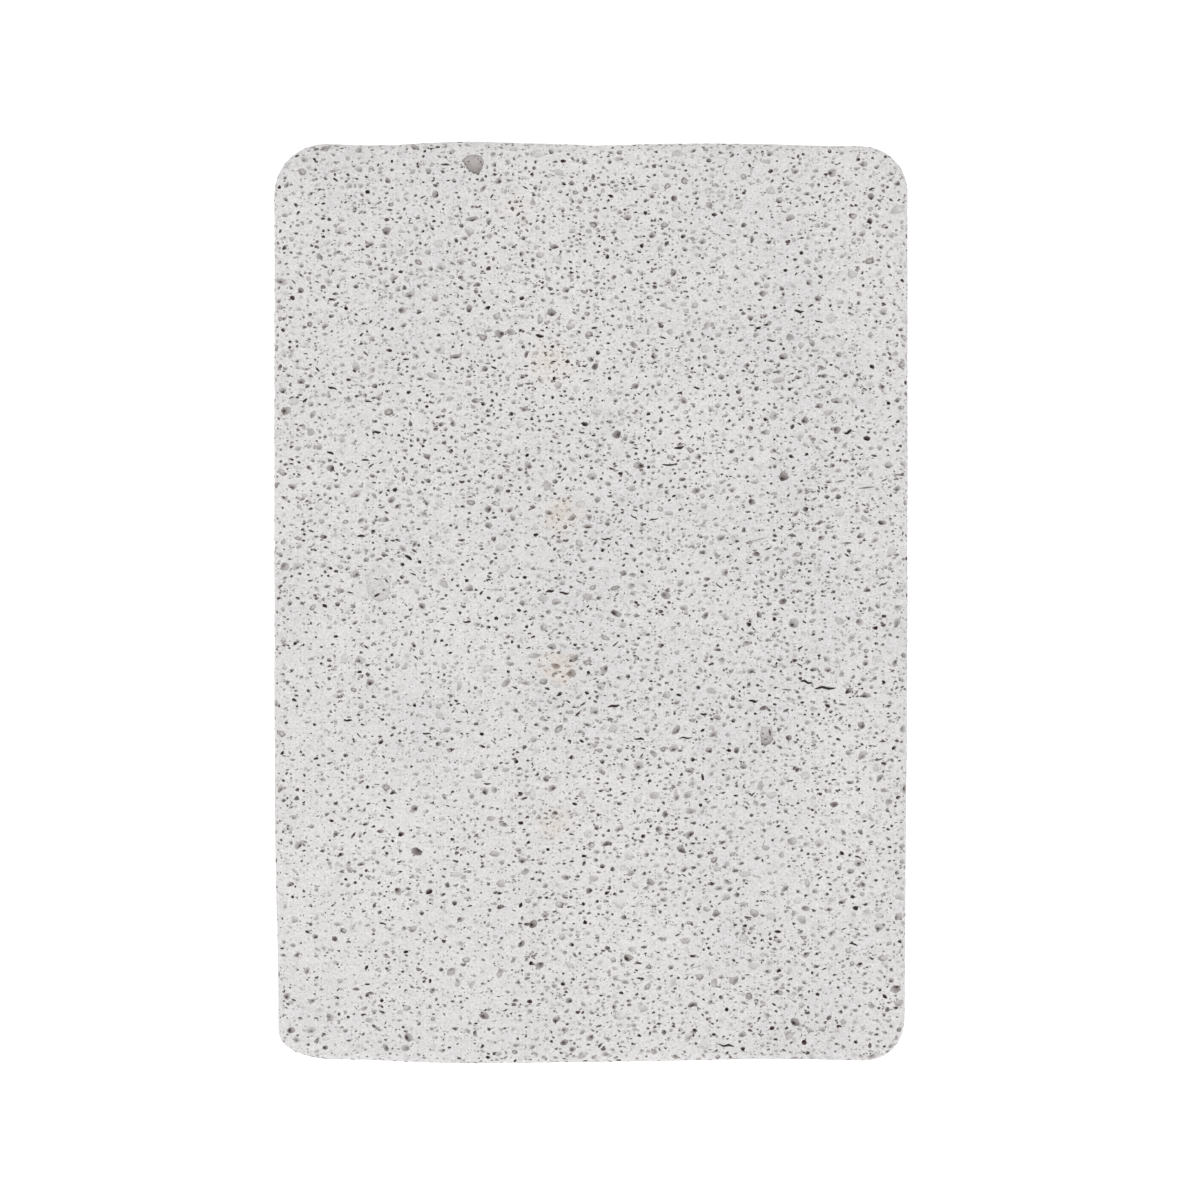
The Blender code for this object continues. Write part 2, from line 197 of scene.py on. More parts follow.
@dataclass
class Rim:
    """The line where the flat of a face meets its rounded edge, as a road of measured length."""

    form: SlabForm
    pace_turn: float = math.radians(12.0)  # the most that it turns in a pace

    def __post_init__(self) -> None:
        """Lay the line out and fit it to the slab's size."""
        form = self.form
        points = form.rim_points()
        outer = points + self._normals(points) * form.edge
        low, high = outer.min(axis=0), outer.max(axis=0)
        flat_size = np.array((form.width, form.length)) - 2 * form.edge
        self.points = (points - (low + high) / 2) * flat_size / (high - low - 2 * form.edge)
        self.normals = self._normals(self.points)
        steps = np.linalg.norm(np.roll(self.points, -1, axis=0) - self.points, axis=1)
        self.marks = [0.0, *np.cumsum(steps).tolist()]
        self.length = self.marks[-1]

    @staticmethod
    def _normals(points: np.ndarray) -> np.ndarray:
        """Find the outward direction at each point of a closed anticlockwise line.

        Args:
            points: The line's points, one row each.

        Returns:
            The directions, one row each.
        """
        along = np.roll(points, -1, axis=0) - np.roll(points, 1, axis=0)
        out = np.stack((along[:, 1], -along[:, 0]), axis=1)
        return out / np.linalg.norm(out, axis=1)[:, None]

    def at(self, distance: float) -> tuple[float, float, float, float]:
        """Find a place along the line.

        Args:
            distance: The way along the line from its first point.

        Returns:
            The place's x and y, and the outward direction's x and y there.
        """
        distance %= self.length
        index = min(bisect_right(self.marks, distance) - 1, len(self.points) - 1)
        after = (index + 1) % len(self.points)
        share = (distance - self.marks[index]) / (self.marks[index + 1] - self.marks[index])
        x, y = self.points[index] * (1.0 - share) + self.points[after] * share
        out_x, out_y = self.normals[index] * (1.0 - share) + self.normals[after] * share
        size = math.hypot(out_x, out_y)
        return float(x), float(y), float(out_x / size), float(out_y / size)

    def paces(self, longest: float) -> list[float]:
        """Divide the line into paces, shorter where it bends.

        Args:
            longest: The longest pace.

        Returns:
            The distance along the line at which each pace starts.
        """
        lengths = np.diff(self.marks)
        turns = np.arccos(np.clip((self.normals * np.roll(self.normals, -1, axis=0)).sum(axis=1), -1.0, 1.0))
        effort = np.concatenate(([0.0], np.cumsum(np.maximum(lengths / longest, turns / self.pace_turn))))
        count = math.ceil(effort[-1])
        return np.interp(np.arange(count) * effort[-1] / count, effort, self.marks).tolist()

    def locate(self, x: float, y: float) -> tuple[float, float]:
        """Find the nearest place of the line.

        Args:
            x: A spot's x on the flat.
            y: A spot's y on the flat.

        Returns:
            The distance along the line, and how far outside it the spot is.
        """
        index = int(np.argmin(((self.points - (x, y)) ** 2).sum(axis=1)))
        point, out = self.points[index], self.normals[index]
        away = np.array((x, y)) - point
        along = away[1] * out[0] - away[0] * out[1]
        return (self.marks[index] + float(along)) % self.length, float(away @ out)


# ---- Pores ----


@dataclass(frozen=True)
class Step:
    """One ring of a pore under its mouth."""

    size: float  # a share of the mouth
    depth: float  # a share of the mouth's smaller width
    drop: float  # how far it lies towards the near side, as a share of half that width
    shade: float  # the painted shade there, how dark the rock is drawn, from 0 to 1


class PoreKind(Enum):
    """The kinds of pore: whether the mouth is crisp, the painted shade at its edge, and the wall's steps."""

    SPECK = (True, 0.49, (Step(0.0, 0.90, 0.10, 1.05),))
    STROKE = (True, 0.58, (Step(0.0, 1.00, 0.20, 1.0),))
    DIMPLE = (False, 0.02, (Step(0.0, 0.42, 0.45, 0.30),))
    SPOT = (True, 0.14, (Step(0.0, 0.85, 0.60, 1.0),))
    CUP = (True, 0.24, (Step(0.0, 0.55, 0.40, 0.50),))
    SOCKET = (True, 0.26, (Step(0.66, 0.40, 0.14, 0.36), Step(0.0, 0.90, 0.45, 0.95)))
    RING = (True, 0.20, (Step(0.76, 0.36, 0.10, 0.55), Step(0.0, 0.40, 0.0, 0.10)))
    PIT = (True, 0.24, (
        Step(0.82, 0.42, 0.08, 0.34), Step(0.46, 0.60, 0.26, 0.55), Step(0.0, 0.95, 0.50, 1.0),
    ))
    BOWL = (True, 0.10, (
        Step(0.82, 0.24, 0.10, 0.18), Step(0.48, 0.38, 0.22, 0.28), Step(0.0, 0.44, 0.35, 0.34),
    ))
    WELL = (True, 0.78, (Step(0.0, 1.20, 0.20, 1.0),))
    HOLLOW = (True, 0.40, (Step(0.66, 0.50, 0.10, 0.55), Step(0.0, 1.00, 0.28, 0.86)))
    SLIT = (True, 0.45, (Step(0.80, 1.10, 0.0, 1.0),))
    NEST = (True, 0.10, (
        Step(0.80, 0.25, 0.06, 0.20), Step(0.40, 0.34, 0.34, 0.45), Step(0.0, 1.00, 0.48, 1.0),
    ))
    PAN = (True, 0.07, (Step(0.86, 0.14, 0.05, 0.09), Step(0.0, 0.20, 0.20, 0.15)))

    @property
    def crisp(self) -> bool:
        """Return whether the mouth has a crisp edge."""
        return self.value[0]

    @property
    def mouth_shade(self) -> float:
        """Return the painted shade of the wall at the mouth."""
        return self.value[1]

    @property
    def steps(self) -> tuple[Step, ...]:
        """Return the steps of the wall, the last of them the bottom."""
        return self.value[2]


@dataclass(frozen=True)
class Mark:
    """A pore that stands out on the face."""

    kind: PoreKind
    x: float
    y: float
    wide: float  # its longer size
    high: float  # its shorter size
    turn: float = 0.0  # from X, in degrees


def marks(kind: PoreKind, *places: tuple[float, ...]) -> tuple[Mark, ...]:
    """Make marks of one kind from the place, the sizes and, where it has one, the turn of each."""
    return tuple(Mark(kind, *place) for place in places)


WELLS = marks(
    PoreKind.WELL,
    (27.2, 37.2, .65, .6, 35), (20.5, 34.1, .45, .45), (-29.1, 29.7, .6, .45, -30), (-23.2, 31.7, .42, .3),
    (-26.8, 38.8, .36, .26), (-26.1, 38.9, .5, .26, 8), (20.7, 43.7, .45, .3), (3.3, 38.3, .4, .3),
    (5.3, 38.0, .5, .4), (5.6, 33.2, .4, .35), (1.6, 33.7, .55, .4, 90), (-.6, 17.4, .85, .45, -20),
    (5.6, 18.4, .5, .4), (10.3, 12.6, .32, .3), (19.0, 16.1, .35, .3), (26.9, 16.0, .8, .5),
    (-16.0, 19.1, .4, .34), (-13.6, 14.8, .4, .36), (-12.5, 3.7, .42, .3), (-18.4, 3.7, .5, .42),
    (-19.1, 11.0, .5, .5), (20.8, -42.9, .6, .55), (14.8, -43.5, .5, .5), (-15.8, -28.2, .7, .6, 20),
    (-20.5, -13.6, .6, .45, 30), (-.4, -8.8, .5, .42, -30), (5.1, -22.8, .5, .45), (11.1, -23.1, .35, .3),
    (9.9, -15.3, .5, .45), (-2.1, -13.5, .42, .35), (-7.3, -15.5, .5, .5), (-17.2, -10.0, .48, .42, 90),
    (-24.9, -3.3, .55, .38), (-10.0, -2.4, .5, .35, -15), (-13.7, -4.9, .5, .26, 10),
    (-17.5, -16.0, .35, .32), (-1.9, -15.1, .55, .38, 90), (-13.5, -23.1, .45, .4),
    (-6.1, -23.4, .45, .4, 60), (-18.5, -22.6, .8, .45, 35), (-20.4, -38.8, .5, .4, 90),
    (-15.7, -36.9, .55, .35, 80), (25.5, -28.7, .55, .4), (25.8, -29.8, .65, .5), (18.2, -32.1, .75, .35, -5),
    (18.3, -35.9, .55, .4, 20), (25.2, -12.0, .35, .35), (22.1, -38.2, .5, .4), (1.15, 5.1, .45, .45),
    (-23.1, -1.0, .28, .25), (-27.3, -2.0, .35, .25, 100), (-26.8, -3.4, .3, .25),
    (-28.05, -4.15, .4, .28, 20), (-29.4, -4.45, .4, .2, -40), (-26.3, -4.35, .35, .3),
    (-18.4, -4.1, .4, .2, -25), (-19.4, -5.1, .35, .35), (-17.65, -.7, .4, .3), (-12.75, -1.0, .4, .33, 80),
    (-14.55, -3.7, .4, .4), (-26.3, -5.95, .35, .28), (-29.2, -6.7, .3, .25), (-28.95, -9.5, .65, .33, -25),
    (-28.65, -10.1, .3, .3), (-20.7, -10.3, .35, .3), (-10.6, -10.5, .35, .25), (-28.0, -19.5, .4, .25, 20),
    (-20.15, -19.3, .35, .35), (-19.7, -20.0, .6, .28, -15), (-17.9, -19.7, .25, .22),
    (-22.1, -22.5, .4, .25, 50), (-29.0, -22.8, .3, .25), (-19.35, -23.25, .4, .3, -50),
    (-17.55, -22.2, .4, .22), (-28.0, -24.2, .45, .25), (-24.4, -24.6, .5, .4), (-19.9, -24.45, .35, .35),
    (-11.3, -23.3, .3, .25, 90), (-23.9, -27.0, .38, .35), (-23.0, -27.3, .4, .35), (-22.3, -28.0, .25, .22),
    (-19.5, -27.35, .3, .25), (-28.85, -27.7, .28, .28), (-29.1, -28.7, .4, .35, 60),
    (-20.15, -28.65, .35, .25), (-17.85, -29.85, .35, .28), (-15.4, -26.6, .3, .28),
    (-16.2, 44.0, .4, .3, 30), (-19.4, 43.0, .4, .3, 90), (-7.7, 42.55, .25, .25), (-5.75, 41.75, .4, .3),
    (-.7, 42.1, .3, .2, 70), (4.45, 42.7, .3, .2, -30), (-10.1, 38.0, .4, .3), (-5.15, 37.7, .35, .25),
    (-3.55, 37.65, .4, .28), (-2.2, 37.4, .35, .3, 60), (1.7, 39.2, .35, .3), (-10.5, 35.6, .4, .3, 80),
    (-10.25, 34.0, .4, .3), (-14.0, 34.25, .35, .3), (-15.3, 37.2, .4, .35), (-14.4, 38.35, .3, .28),
    (-19.4, 40.4, .4, .25), (-16.35, 41.0, .35, .25), (.85, 34.75, .35, .28), (-.6, 33.3, .4, .35, 45),
    (-6.4, 32.95, .3, .25, -30), (-9.15, 32.6, .3, .3), (-10.7, 32.7, .3, .25), (-18.55, 32.25, .55, .35),
    (-19.4, 32.45, .35, .3), (-15.3, 30.7, .3, .22), (-9.9, 31.1, .28, .25), (3.3, 30.7, .35, .3),
    (2.05, 35.05, .28, .25, 90), (4.7, 24.7, .35, .2, 15), (10.5, 23.9, .38, .3), (12.1, 24.6, .28, .26),
    (15.65, 23.5, .25, .25), (5.35, 22.05, .26, .26), (10.15, 22.45, .35, .18, -10),
    (15.15, 21.8, .4, .25, -20), (16.85, 21.65, .3, .2, -25), (19.35, 20.8, .4, .4), (12.1, 20.25, .32, .24),
    (4.65, 20.35, .42, .22, -15), (1.1, 19.7, .28, .25, 40), (6.95, 18.55, .3, .35), (7.5, 18.6, .25, .22),
    (14.65, 19.15, .4, .22, -10), (15.35, 18.65, .5, .2, -12), (17.4, 19.35, .3, .26),
    (17.85, 19.35, .3, .26), (16.35, 17.95, .26, .16, 10), (17.0, 17.85, .48, .42, -30),
    (11.5, 17.4, .25, .22), (14.9, 17.05, .22, .26), (17.85, 15.9, .32, .3), (5.6, 15.8, .45, .3, -25),
    (5.6, 16.8, .25, .2), (10.0, 15.4, .32, .16), (10.4, 15.0, .36, .3, 30), (19.5, 14.25, .5, .42),
    (4.6, 14.0, .36, .2, -35), (5.6, 13.2, .42, .38), (1.15, 12.6, .24, .3), (12.75, 12.5, .42, .26, -10),
    (13.6, 12.3, .45, .18, 5), (14.05, 13.0, .3, .26), (10.25, 11.6, .25, .25), (12.9, 14.3, .3, .18),
    (1.85, 10.7, .3, .25), (17.6, 11.6, .36, .32), (17.0, 23.6, .26, .35), (19.55, 22.3, .6, .18, 12),
    (-18.05, 23.7, .8, .26, 5), (-17.9, 23.0, .36, .3), (-18.8, 22.65, .32, .26), (-14.45, 23.5, .4, .22, 90),
    (-15.95, 20.2, .38, .36), (-17.6, 18.4, .4, .25, -40), (-10.5, 19.35, .48, .42, 90),
    (-9.45, 18.4, .3, .28), (-7.8, 18.4, .5, .46), (-7.3, 20.9, .45, .22, -35), (-5.45, 20.85, .3, .26),
    (-4.6, 20.2, .36, .32), (-3.75, 20.0, .42, .35, 90), (-5.8, 17.9, .42, .36, -30),
    (-3.0, 17.85, .45, .16, -5), (-7.15, 16.1, .36, .34), (-16.4, 15.25, .4, .3),
    (-15.2, 14.9, .42, .26, -20), (-18.7, 13.7, .3, .26), (-14.35, 14.05, .32, .28),
    (-13.15, 14.2, .45, .18, -10), (-15.7, 13.4, .26, .3), (-8.35, 13.7, .6, .18, -5),
    (-8.85, 14.45, .3, .26), (-9.25, 14.8, .3, .22), (-3.85, 15.7, .3, .3), (-.9, 16.55, .75, .18, -5),
    (.25, 16.3, .6, .25, -5), (-2.6, 19.4, .22, .22), (-1.1, 19.8, .32, .3), (-3.65, 18.35, .36, .3),
    (-.9, 13.2, .28, .22), (.05, 13.1, .36, .3), (-10.8, 12.35, .5, .3, -20), (-7.9, 11.9, .4, .22),
    (-6.9, 11.2, .36, .3), (-13.1, 12.8, .3, .26), (-3.5, 10.6, .45, .3), (-9.4, 23.6, .36, .32),
    (-9.45, 22.9, .65, .3, -20), (-11.05, 23.1, .36, .25, -40), (-11.65, 23.55, .36, .22, -40),
    (-11.4, 22.5, .3, .26), (-3.75, 24.95, .5, .35), (-3.65, 23.5, .6, .2, -5), (-2.3, 23.5, .5, .45),
    (-1.85, 23.15, .3, .28), (-1.15, 23.05, .45, .18), (-1.35, 22.55, .22, .25), (20.6, -9.75, .5, .28),
    (17.4, -9.05, .4, .3), (18.0, -9.3, .36, .18), (18.1, -5.95, .36, .32), (14.5, -8.65, .36, .26, 45),
    (16.05, -10.85, .5, .24, -10), (20.05, -12.95, .3, .26), (20.85, -10.95, .4, .24), (21.6, -10.9, .32, .3),
    (22.2, -10.9, .36, .3), (22.7, -11.3, .28, .26), (24.15, -13.35, .6, .32, -10), (25.9, 9.7, .32, .28),
    (28.6, 9.65, .42, .2, -25), (26.25, 14.0, .24, .22), (22.35, 12.5, .28, .26),
    (24.55, 14.45, .32, .28, 40), (16.4, 7.05, .3, .28), (17.85, 7.05, .34, .3), (17.3, 8.05, .3, .26),
    (19.4, 8.1, .32, .3), (18.6, 5.8, .34, .2, 45), (20.35, 3.1, .4, .34), (17.3, 1.6, .42, .26, -20),
    (18.05, 1.15, .42, .4), (25.2, 1.85, .4, .24, -10), (23.15, 4.9, .28, .26),
)
HOLLOWS = marks(
    PoreKind.HOLLOW,
    (8.1, 39.4, .7, .6, 40), (-3.6, 34.7, .9, .5), (-11.9, 28.6, .7, .6, 60), (15.7, 35.4, .9, .4, 85),
    (.4, 23.0, .8, .6, 55), (2.5, 16.4, 1.0, .8, 30), (-25.4, 13.1, .9, .7, -20), (15.7, 9.8, .8, .6),
    (20.9, 9.1, .6, .6), (18.7, .1, .9, .6, 20), (16.4, -1.2, .8, .5, -70), (-17.3, -4.1, .7, .4, -60),
    (25.2, -8.6, 1.0, .5, 35), (23.7, -19.7, .9, .6, 5), (8.8, -24.1, 1.1, .6, -25),
    (-17.0, -24.3, 1.2, .8, -15), (-.2, -28.1, .7, .6, 15), (9.9, -39.2, 1.0, .5, 15),
    (-24.6, 34.2, .5, .3, 10), (-22.9, 30.8, .55, .45), (-24.9, 30.1, .75, .3), (-27.4, 28.1, .45, .4),
    (-14.4, 42.0, .45, .35), (-6.6, 35.5, .5, .45), (14.9, 36.8, .6, .5), (18.6, 30.6, .6, .4, -30),
    (26.1, 29.2, .5, .4, 60), (23.7, 36.4, .45, .4), (28.1, 39.2, .6, .3, -30), (11.5, 43.1, .6, .45),
    (21.4, 24.1, .5, .4), (-21.1, 21.1, .65, .55), (-17.6, 17.4, .6, .45, 90), (-13.0, 13.5, .5, .4),
    (-.4, 14.3, .6, .4), (-5.7, 9.3, .65, .45), (-26.1, 6.4, .8, .45), (-9.5, 6.2, .55, .55),
    (-18.4, 2.5, .55, .45), (6.8, 17.8, .6, .45, 90), (4.0, 15.6, .6, .35), (8.9, 12.0, .75, .4),
    (24.1, 10.3, .65, .55), (14.9, 7.1, .55, .4, 80), (22.3, 7.8, .9, .4, 25), (5.0, 7.6, .5, .4),
    (10.9, 4.9, .7, .45), (11.3, 2.3, .7, .4), (21.2, 1.9, .7, .4, 10), (26.9, 1.2, .75, .5),
    (6.8, -4.2, .7, .5), (12.3, -4.6, .9, .3), (15.6, -3.0, .7, .35), (3.6, -7.2, .5, .45),
    (19.3, -13.2, .7, .55), (14.2, -14.4, .7, .55, 70), (13.9, -11.5, .5, .45), (1.1, -15.5, .55, .5),
    (20.1, -16.3, .6, .5, 90), (2.8, -19.6, .6, .4, 10), (28.9, -20.3, .6, .3, -35), (10.0, -21.5, .7, .35),
    (-5.3, -11.9, .5, .42), (-6.5, -14.1, .6, .45, 20), (-23.9, -14.9, .6, .4), (-28.7, -19.1, .6, .5),
    (-20.5, -22.3, .8, .4, 10), (-25.0, -32.8, .65, .55), (-27.6, -32.1, .6, .4), (-21.5, -38.1, .7, .35),
    (-22.9, -37.7, .8, .35), (-14.6, -35.8, .55, .4, 10), (-9.9, -30.0, .5, .4), (-8.9, -29.7, .65, .55),
    (-13.3, -29.3, .55, .55), (-11.3, -42.0, .6, .45, 90), (-25.9, -43.4, .65, .45), (-7.3, -38.8, .6, .35),
    (1.1, -25.7, .6, .5), (2.1, -26.0, .5, .5), (1.5, -23.5, .8, .5, 25), (12.8, -23.4, .8, .35, 20),
    (24.5, -29.2, .8, .4, 10), (3.2, -30.7, .6, .5), (1.6, -33.7, .65, .42), (5.2, -33.6, .7, .35),
    (21.9, -35.5, .65, .42, -10), (12.7, -38.5, .5, .45, 90), (23.2, -40.5, .7, .45, 40),
    (27.2, -43.2, .6, .5, 60), (28.9, -39.7, .6, .5, 70), (7.1, -41.9, .6, .55), (.45, 5.85, .7, .32, 55),
    (2.5, 5.8, .5, .3, -45), (28.4, 7.8, .9, .5), (16.1, 4.7, .9, .5), (-28.15, -.1, .6, .35, -25),
    (-24.7, -.15, .6, .5), (-20.1, -1.05, .5, .4), (-24.1, -1.7, .55, .35), (-27.8, -2.9, .5, .25, -15),
    (-23.45, -2.45, .35, .25), (-23.1, -3.65, .4, .25, -15), (-19.0, -2.7, .4, .22, 30),
    (-18.4, -2.4, .4, .25, 30), (-19.6, -3.4, .35, .25, 90), (-16.4, -2.9, .4, .35, 90),
    (-16.05, -1.15, .45, .35), (-14.4, -.6, .75, .3, -5), (-12.4, -.4, .5, .35), (-15.15, -3.75, .6, .35, 75),
    (-13.55, -3.15, .3, .25, 90), (-11.65, -3.85, .3, .3), (-14.15, .7, .4, .35), (-27.4, -6.9, .4, .3),
    (-20.35, -7.05, .4, .25, -15), (-27.55, -8.6, .45, .4), (-29.6, -7.75, .45, .4), (-24.6, -9.2, .45, .35),
    (-30.0, -19.3, .5, .4), (-25.4, -18.8, .4, .3), (-23.3, -19.2, .35, .35), (-21.95, -21.6, .7, .35, 15),
    (-24.9, -22.6, .55, .5), (-18.55, -24.25, .45, .3), (-15.7, -22.75, .4, .35),
    (-14.6, -22.65, .35, .25, -30), (-10.5, -22.25, .4, .3, 30), (-10.5, -19.9, .4, .35),
    (-28.2, -25.2, .35, .3, 90), (-22.45, -26.6, .45, .45), (-28.0, -28.15, .4, .35, 90),
    (-27.3, -29.55, .5, .25, -60), (-21.15, -29.6, .45, .45), (-20.6, -30.2, .5, .4, 35),
    (-22.5, -29.4, .45, .25, -70), (-25.2, -30.4, .45, .22), (-16.5, -30.3, .5, .45),
    (-17.85, -27.9, .6, .35), (-15.55, -25.95, .4, .25), (-14.0, -27.55, .6, .5, 90),
    (-14.45, -28.5, .6, .35, 30), (-12.0, -28.0, .4, .4), (-12.5, -29.9, .35, .3), (-12.0, -25.5, .4, .3),
    (-10.6, -25.4, .4, .3), (-18.2, 42.7, .4, .35), (-19.4, 42.2, .5, .35), (-5.55, 42.35, .5, .4, 50),
    (-6.35, 42.35, .4, .4), (-6.35, 43.0, .35, .3, 90), (-7.6, 41.75, .45, .25, 90),
    (-.65, 42.95, .55, .45, -30), (.2, 41.5, .65, .4, 75), (4.1, 41.4, .5, .3, 80), (-4.85, 41.0, .4, .3, 90),
    (-.55, 40.3, .6, .5, 90), (-5.4, 40.45, .5, .45), (-2.2, 43.7, .4, .3), (-6.8, 38.65, .6, .25, 10),
    (-7.65, 38.4, .5, .45, 90), (-8.65, 37.5, .65, .3), (-5.9, 36.9, .35, .35), (-4.65, 37.15, .45, .45),
    (-1.8, 39.1, .35, .35), (-6.25, 36.3, .5, .25, -50), (-9.3, 36.0, .5, .3, -45),
    (-8.45, 34.6, .6, .35, -15), (-12.2, 34.4, .5, .4), (-12.7, 35.05, .4, .25, 90), (-16.9, 37.5, .6, .35),
    (-14.55, 37.05, .4, .3, -40), (-12.65, 36.75, .5, .45, -45), (-16.15, 38.9, .45, .3, -20),
    (-18.2, 38.35, .4, .35, 90), (-17.1, 39.7, .4, .35), (-12.9, 39.5, .4, .35), (-15.05, 40.65, .5, .35, 20),
    (-5.65, 32.8, .45, .45), (-9.5, 33.5, .5, .35, 80), (-12.7, 31.7, .6, .45), (-18.2, 30.7, .5, .5),
    (-16.8, 30.85, .5, .35, -15), (-13.3, 31.1, .4, .3), (-11.05, 31.0, .6, .5), (-3.95, 30.6, .6, .45, -30),
    (-1.25, 31.75, .45, .4, 90), (1.7, 31.4, .35, .3), (4.5, 31.5, .4, .25, 90), (0.0, 32.9, .4, .3),
    (2.45, 35.5, .4, .4), (1.3, 35.4, .35, .3), (4.15, 24.4, .6, .35, 20), (17.6, 23.55, .5, .4, -20),
    (1.6, 22.8, .32, .26), (4.45, 21.95, .38, .28, 80), (6.0, 23.3, .42, .26, -10), (9.6, 22.0, .48, .4, 10),
    (15.8, 21.4, .42, .36), (16.15, 20.85, .58, .5, 40), (17.25, 20.45, .36, .2, -10), (14.4, 20.55, .6, .5),
    (13.2, 21.1, .32, .28), (11.6, 21.15, .32, .26), (6.05, 21.05, .42, .4), (3.55, 20.25, .55, .32, 10),
    (18.6, 19.95, .55, .24, 10), (15.8, 17.8, .42, .4, 90), (10.6, 17.35, .3, .3), (8.4, 16.55, .7, .36, 15),
    (11.1, 16.5, .5, .2, 75), (6.1, 14.85, .5, .38, 20), (6.6, 14.6, .4, .36), (5.45, 14.8, .42, .36),
    (13.75, 14.75, .6, .45, 10), (15.65, 15.2, .7, .22, 3), (15.65, 14.0, .6, .45, 20),
    (11.05, 13.85, .5, .28), (2.3, 13.5, .45, .36), (15.2, 12.25, .5, .4, 35), (7.75, 11.85, .42, .3, 30),
    (5.65, 11.6, .42, .38), (-16.65, 21.8, .65, .32, 5), (-18.85, 20.35, .36, .34), (-16.7, 19.75, .42, .4),
    (-14.85, 18.1, .6, .36, 10), (-14.65, 17.35, .5, .48), (-12.3, 17.2, .55, .24, 85), (-9.7, 20.5, .4, .36),
    (-9.15, 20.3, .42, .36, 90), (-9.1, 18.0, .42, .26, 20), (-6.1, 21.35, .8, .28), (-6.3, 19.85, .42, .36),
    (-4.05, 17.7, 1.0, .25, 5), (-8.7, 17.05, .4, .25), (-13.6, 16.1, .48, .36, 90),
    (-16.85, 15.85, .45, .42), (-18.45, 15.7, .6, .32), (-17.5, 13.95, .5, .4), (-5.1, 15.1, .45, .26, -20),
    (-3.1, 15.55, .5, .3, 10), (-2.3, 15.3, .6, .3, 30), (-2.15, 16.4, .5, .24), (-.75, 18.55, .4, .26),
    (-1.15, 18.0, .32, .3), (-3.0, 13.3, .45, .36, 90), (-6.35, 12.7, .5, .3, 30), (-9.55, 12.15, .42, .36),
    (-11.9, 11.85, .42, .36), (-15.85, 11.85, .5, .48), (-.6, 11.65, .42, .3), (-12.55, 22.8, .42, .36),
    (-5.45, 23.3, .5, .28, -10), (-6.3, 24.2, .8, .42, 75), (-1.3, 23.6, .36, .22), (-2.6, 22.3, .45, .3, 20),
    (19.1, -8.5, 1.2, .2, -4), (20.1, -8.7, .5, .38, -30), (16.85, -10.3, 1.05, .44, 12),
    (19.0, -10.55, .75, .34, 30), (23.75, -9.65, .45, .32, 90), (24.55, -9.95, .85, .26, -5),
    (21.7, -6.55, .85, .36, 5), (17.65, -7.25, .5, .3), (14.45, -7.85, .65, .24, 40),
    (15.4, -7.95, .5, .4, 90), (13.85, -9.3, .55, .5), (15.45, -11.85, .42, .38), (18.3, -12.4, .48, .4, 90),
    (20.15, -12.0, .38, .36), (20.65, -12.4, .38, .36), (23.4, -10.65, .42, .4), (23.95, -12.2, .6, .32, -30),
    (16.8, -14.55, .5, .36), (30.0, 12.45, 1.5, .18, -6), (26.9, 11.2, 1.9, .2, 6),
    (28.65, 11.95, .9, .18, 25), (24.4, 11.85, .95, .18, 5), (23.0, 10.3, .6, .42), (22.2, 10.85, .4, .36),
    (25.6, 14.0, .46, .42), (25.5, 12.35, .42, .34), (26.25, 12.4, .4, .3, -40), (22.95, 13.85, .5, .26, 40),
    (23.4, 14.5, .6, .22, 15), (26.25, 15.05, .65, .24, -25), (17.7, 9.6, .55, .28, -10),
    (19.6, 6.55, .95, .4, -5), (20.25, 5.7, .65, .46), (24.9, 5.8, 1.3, .2, 3), (25.15, 5.05, .5, .46),
    (18.0, 2.8, .5, .38, 90), (22.6, 1.1, .5, .36), (23.65, 1.05, .42, .4), (23.75, 3.3, .42, .34),
    (23.15, 2.95, .4, .36),
)
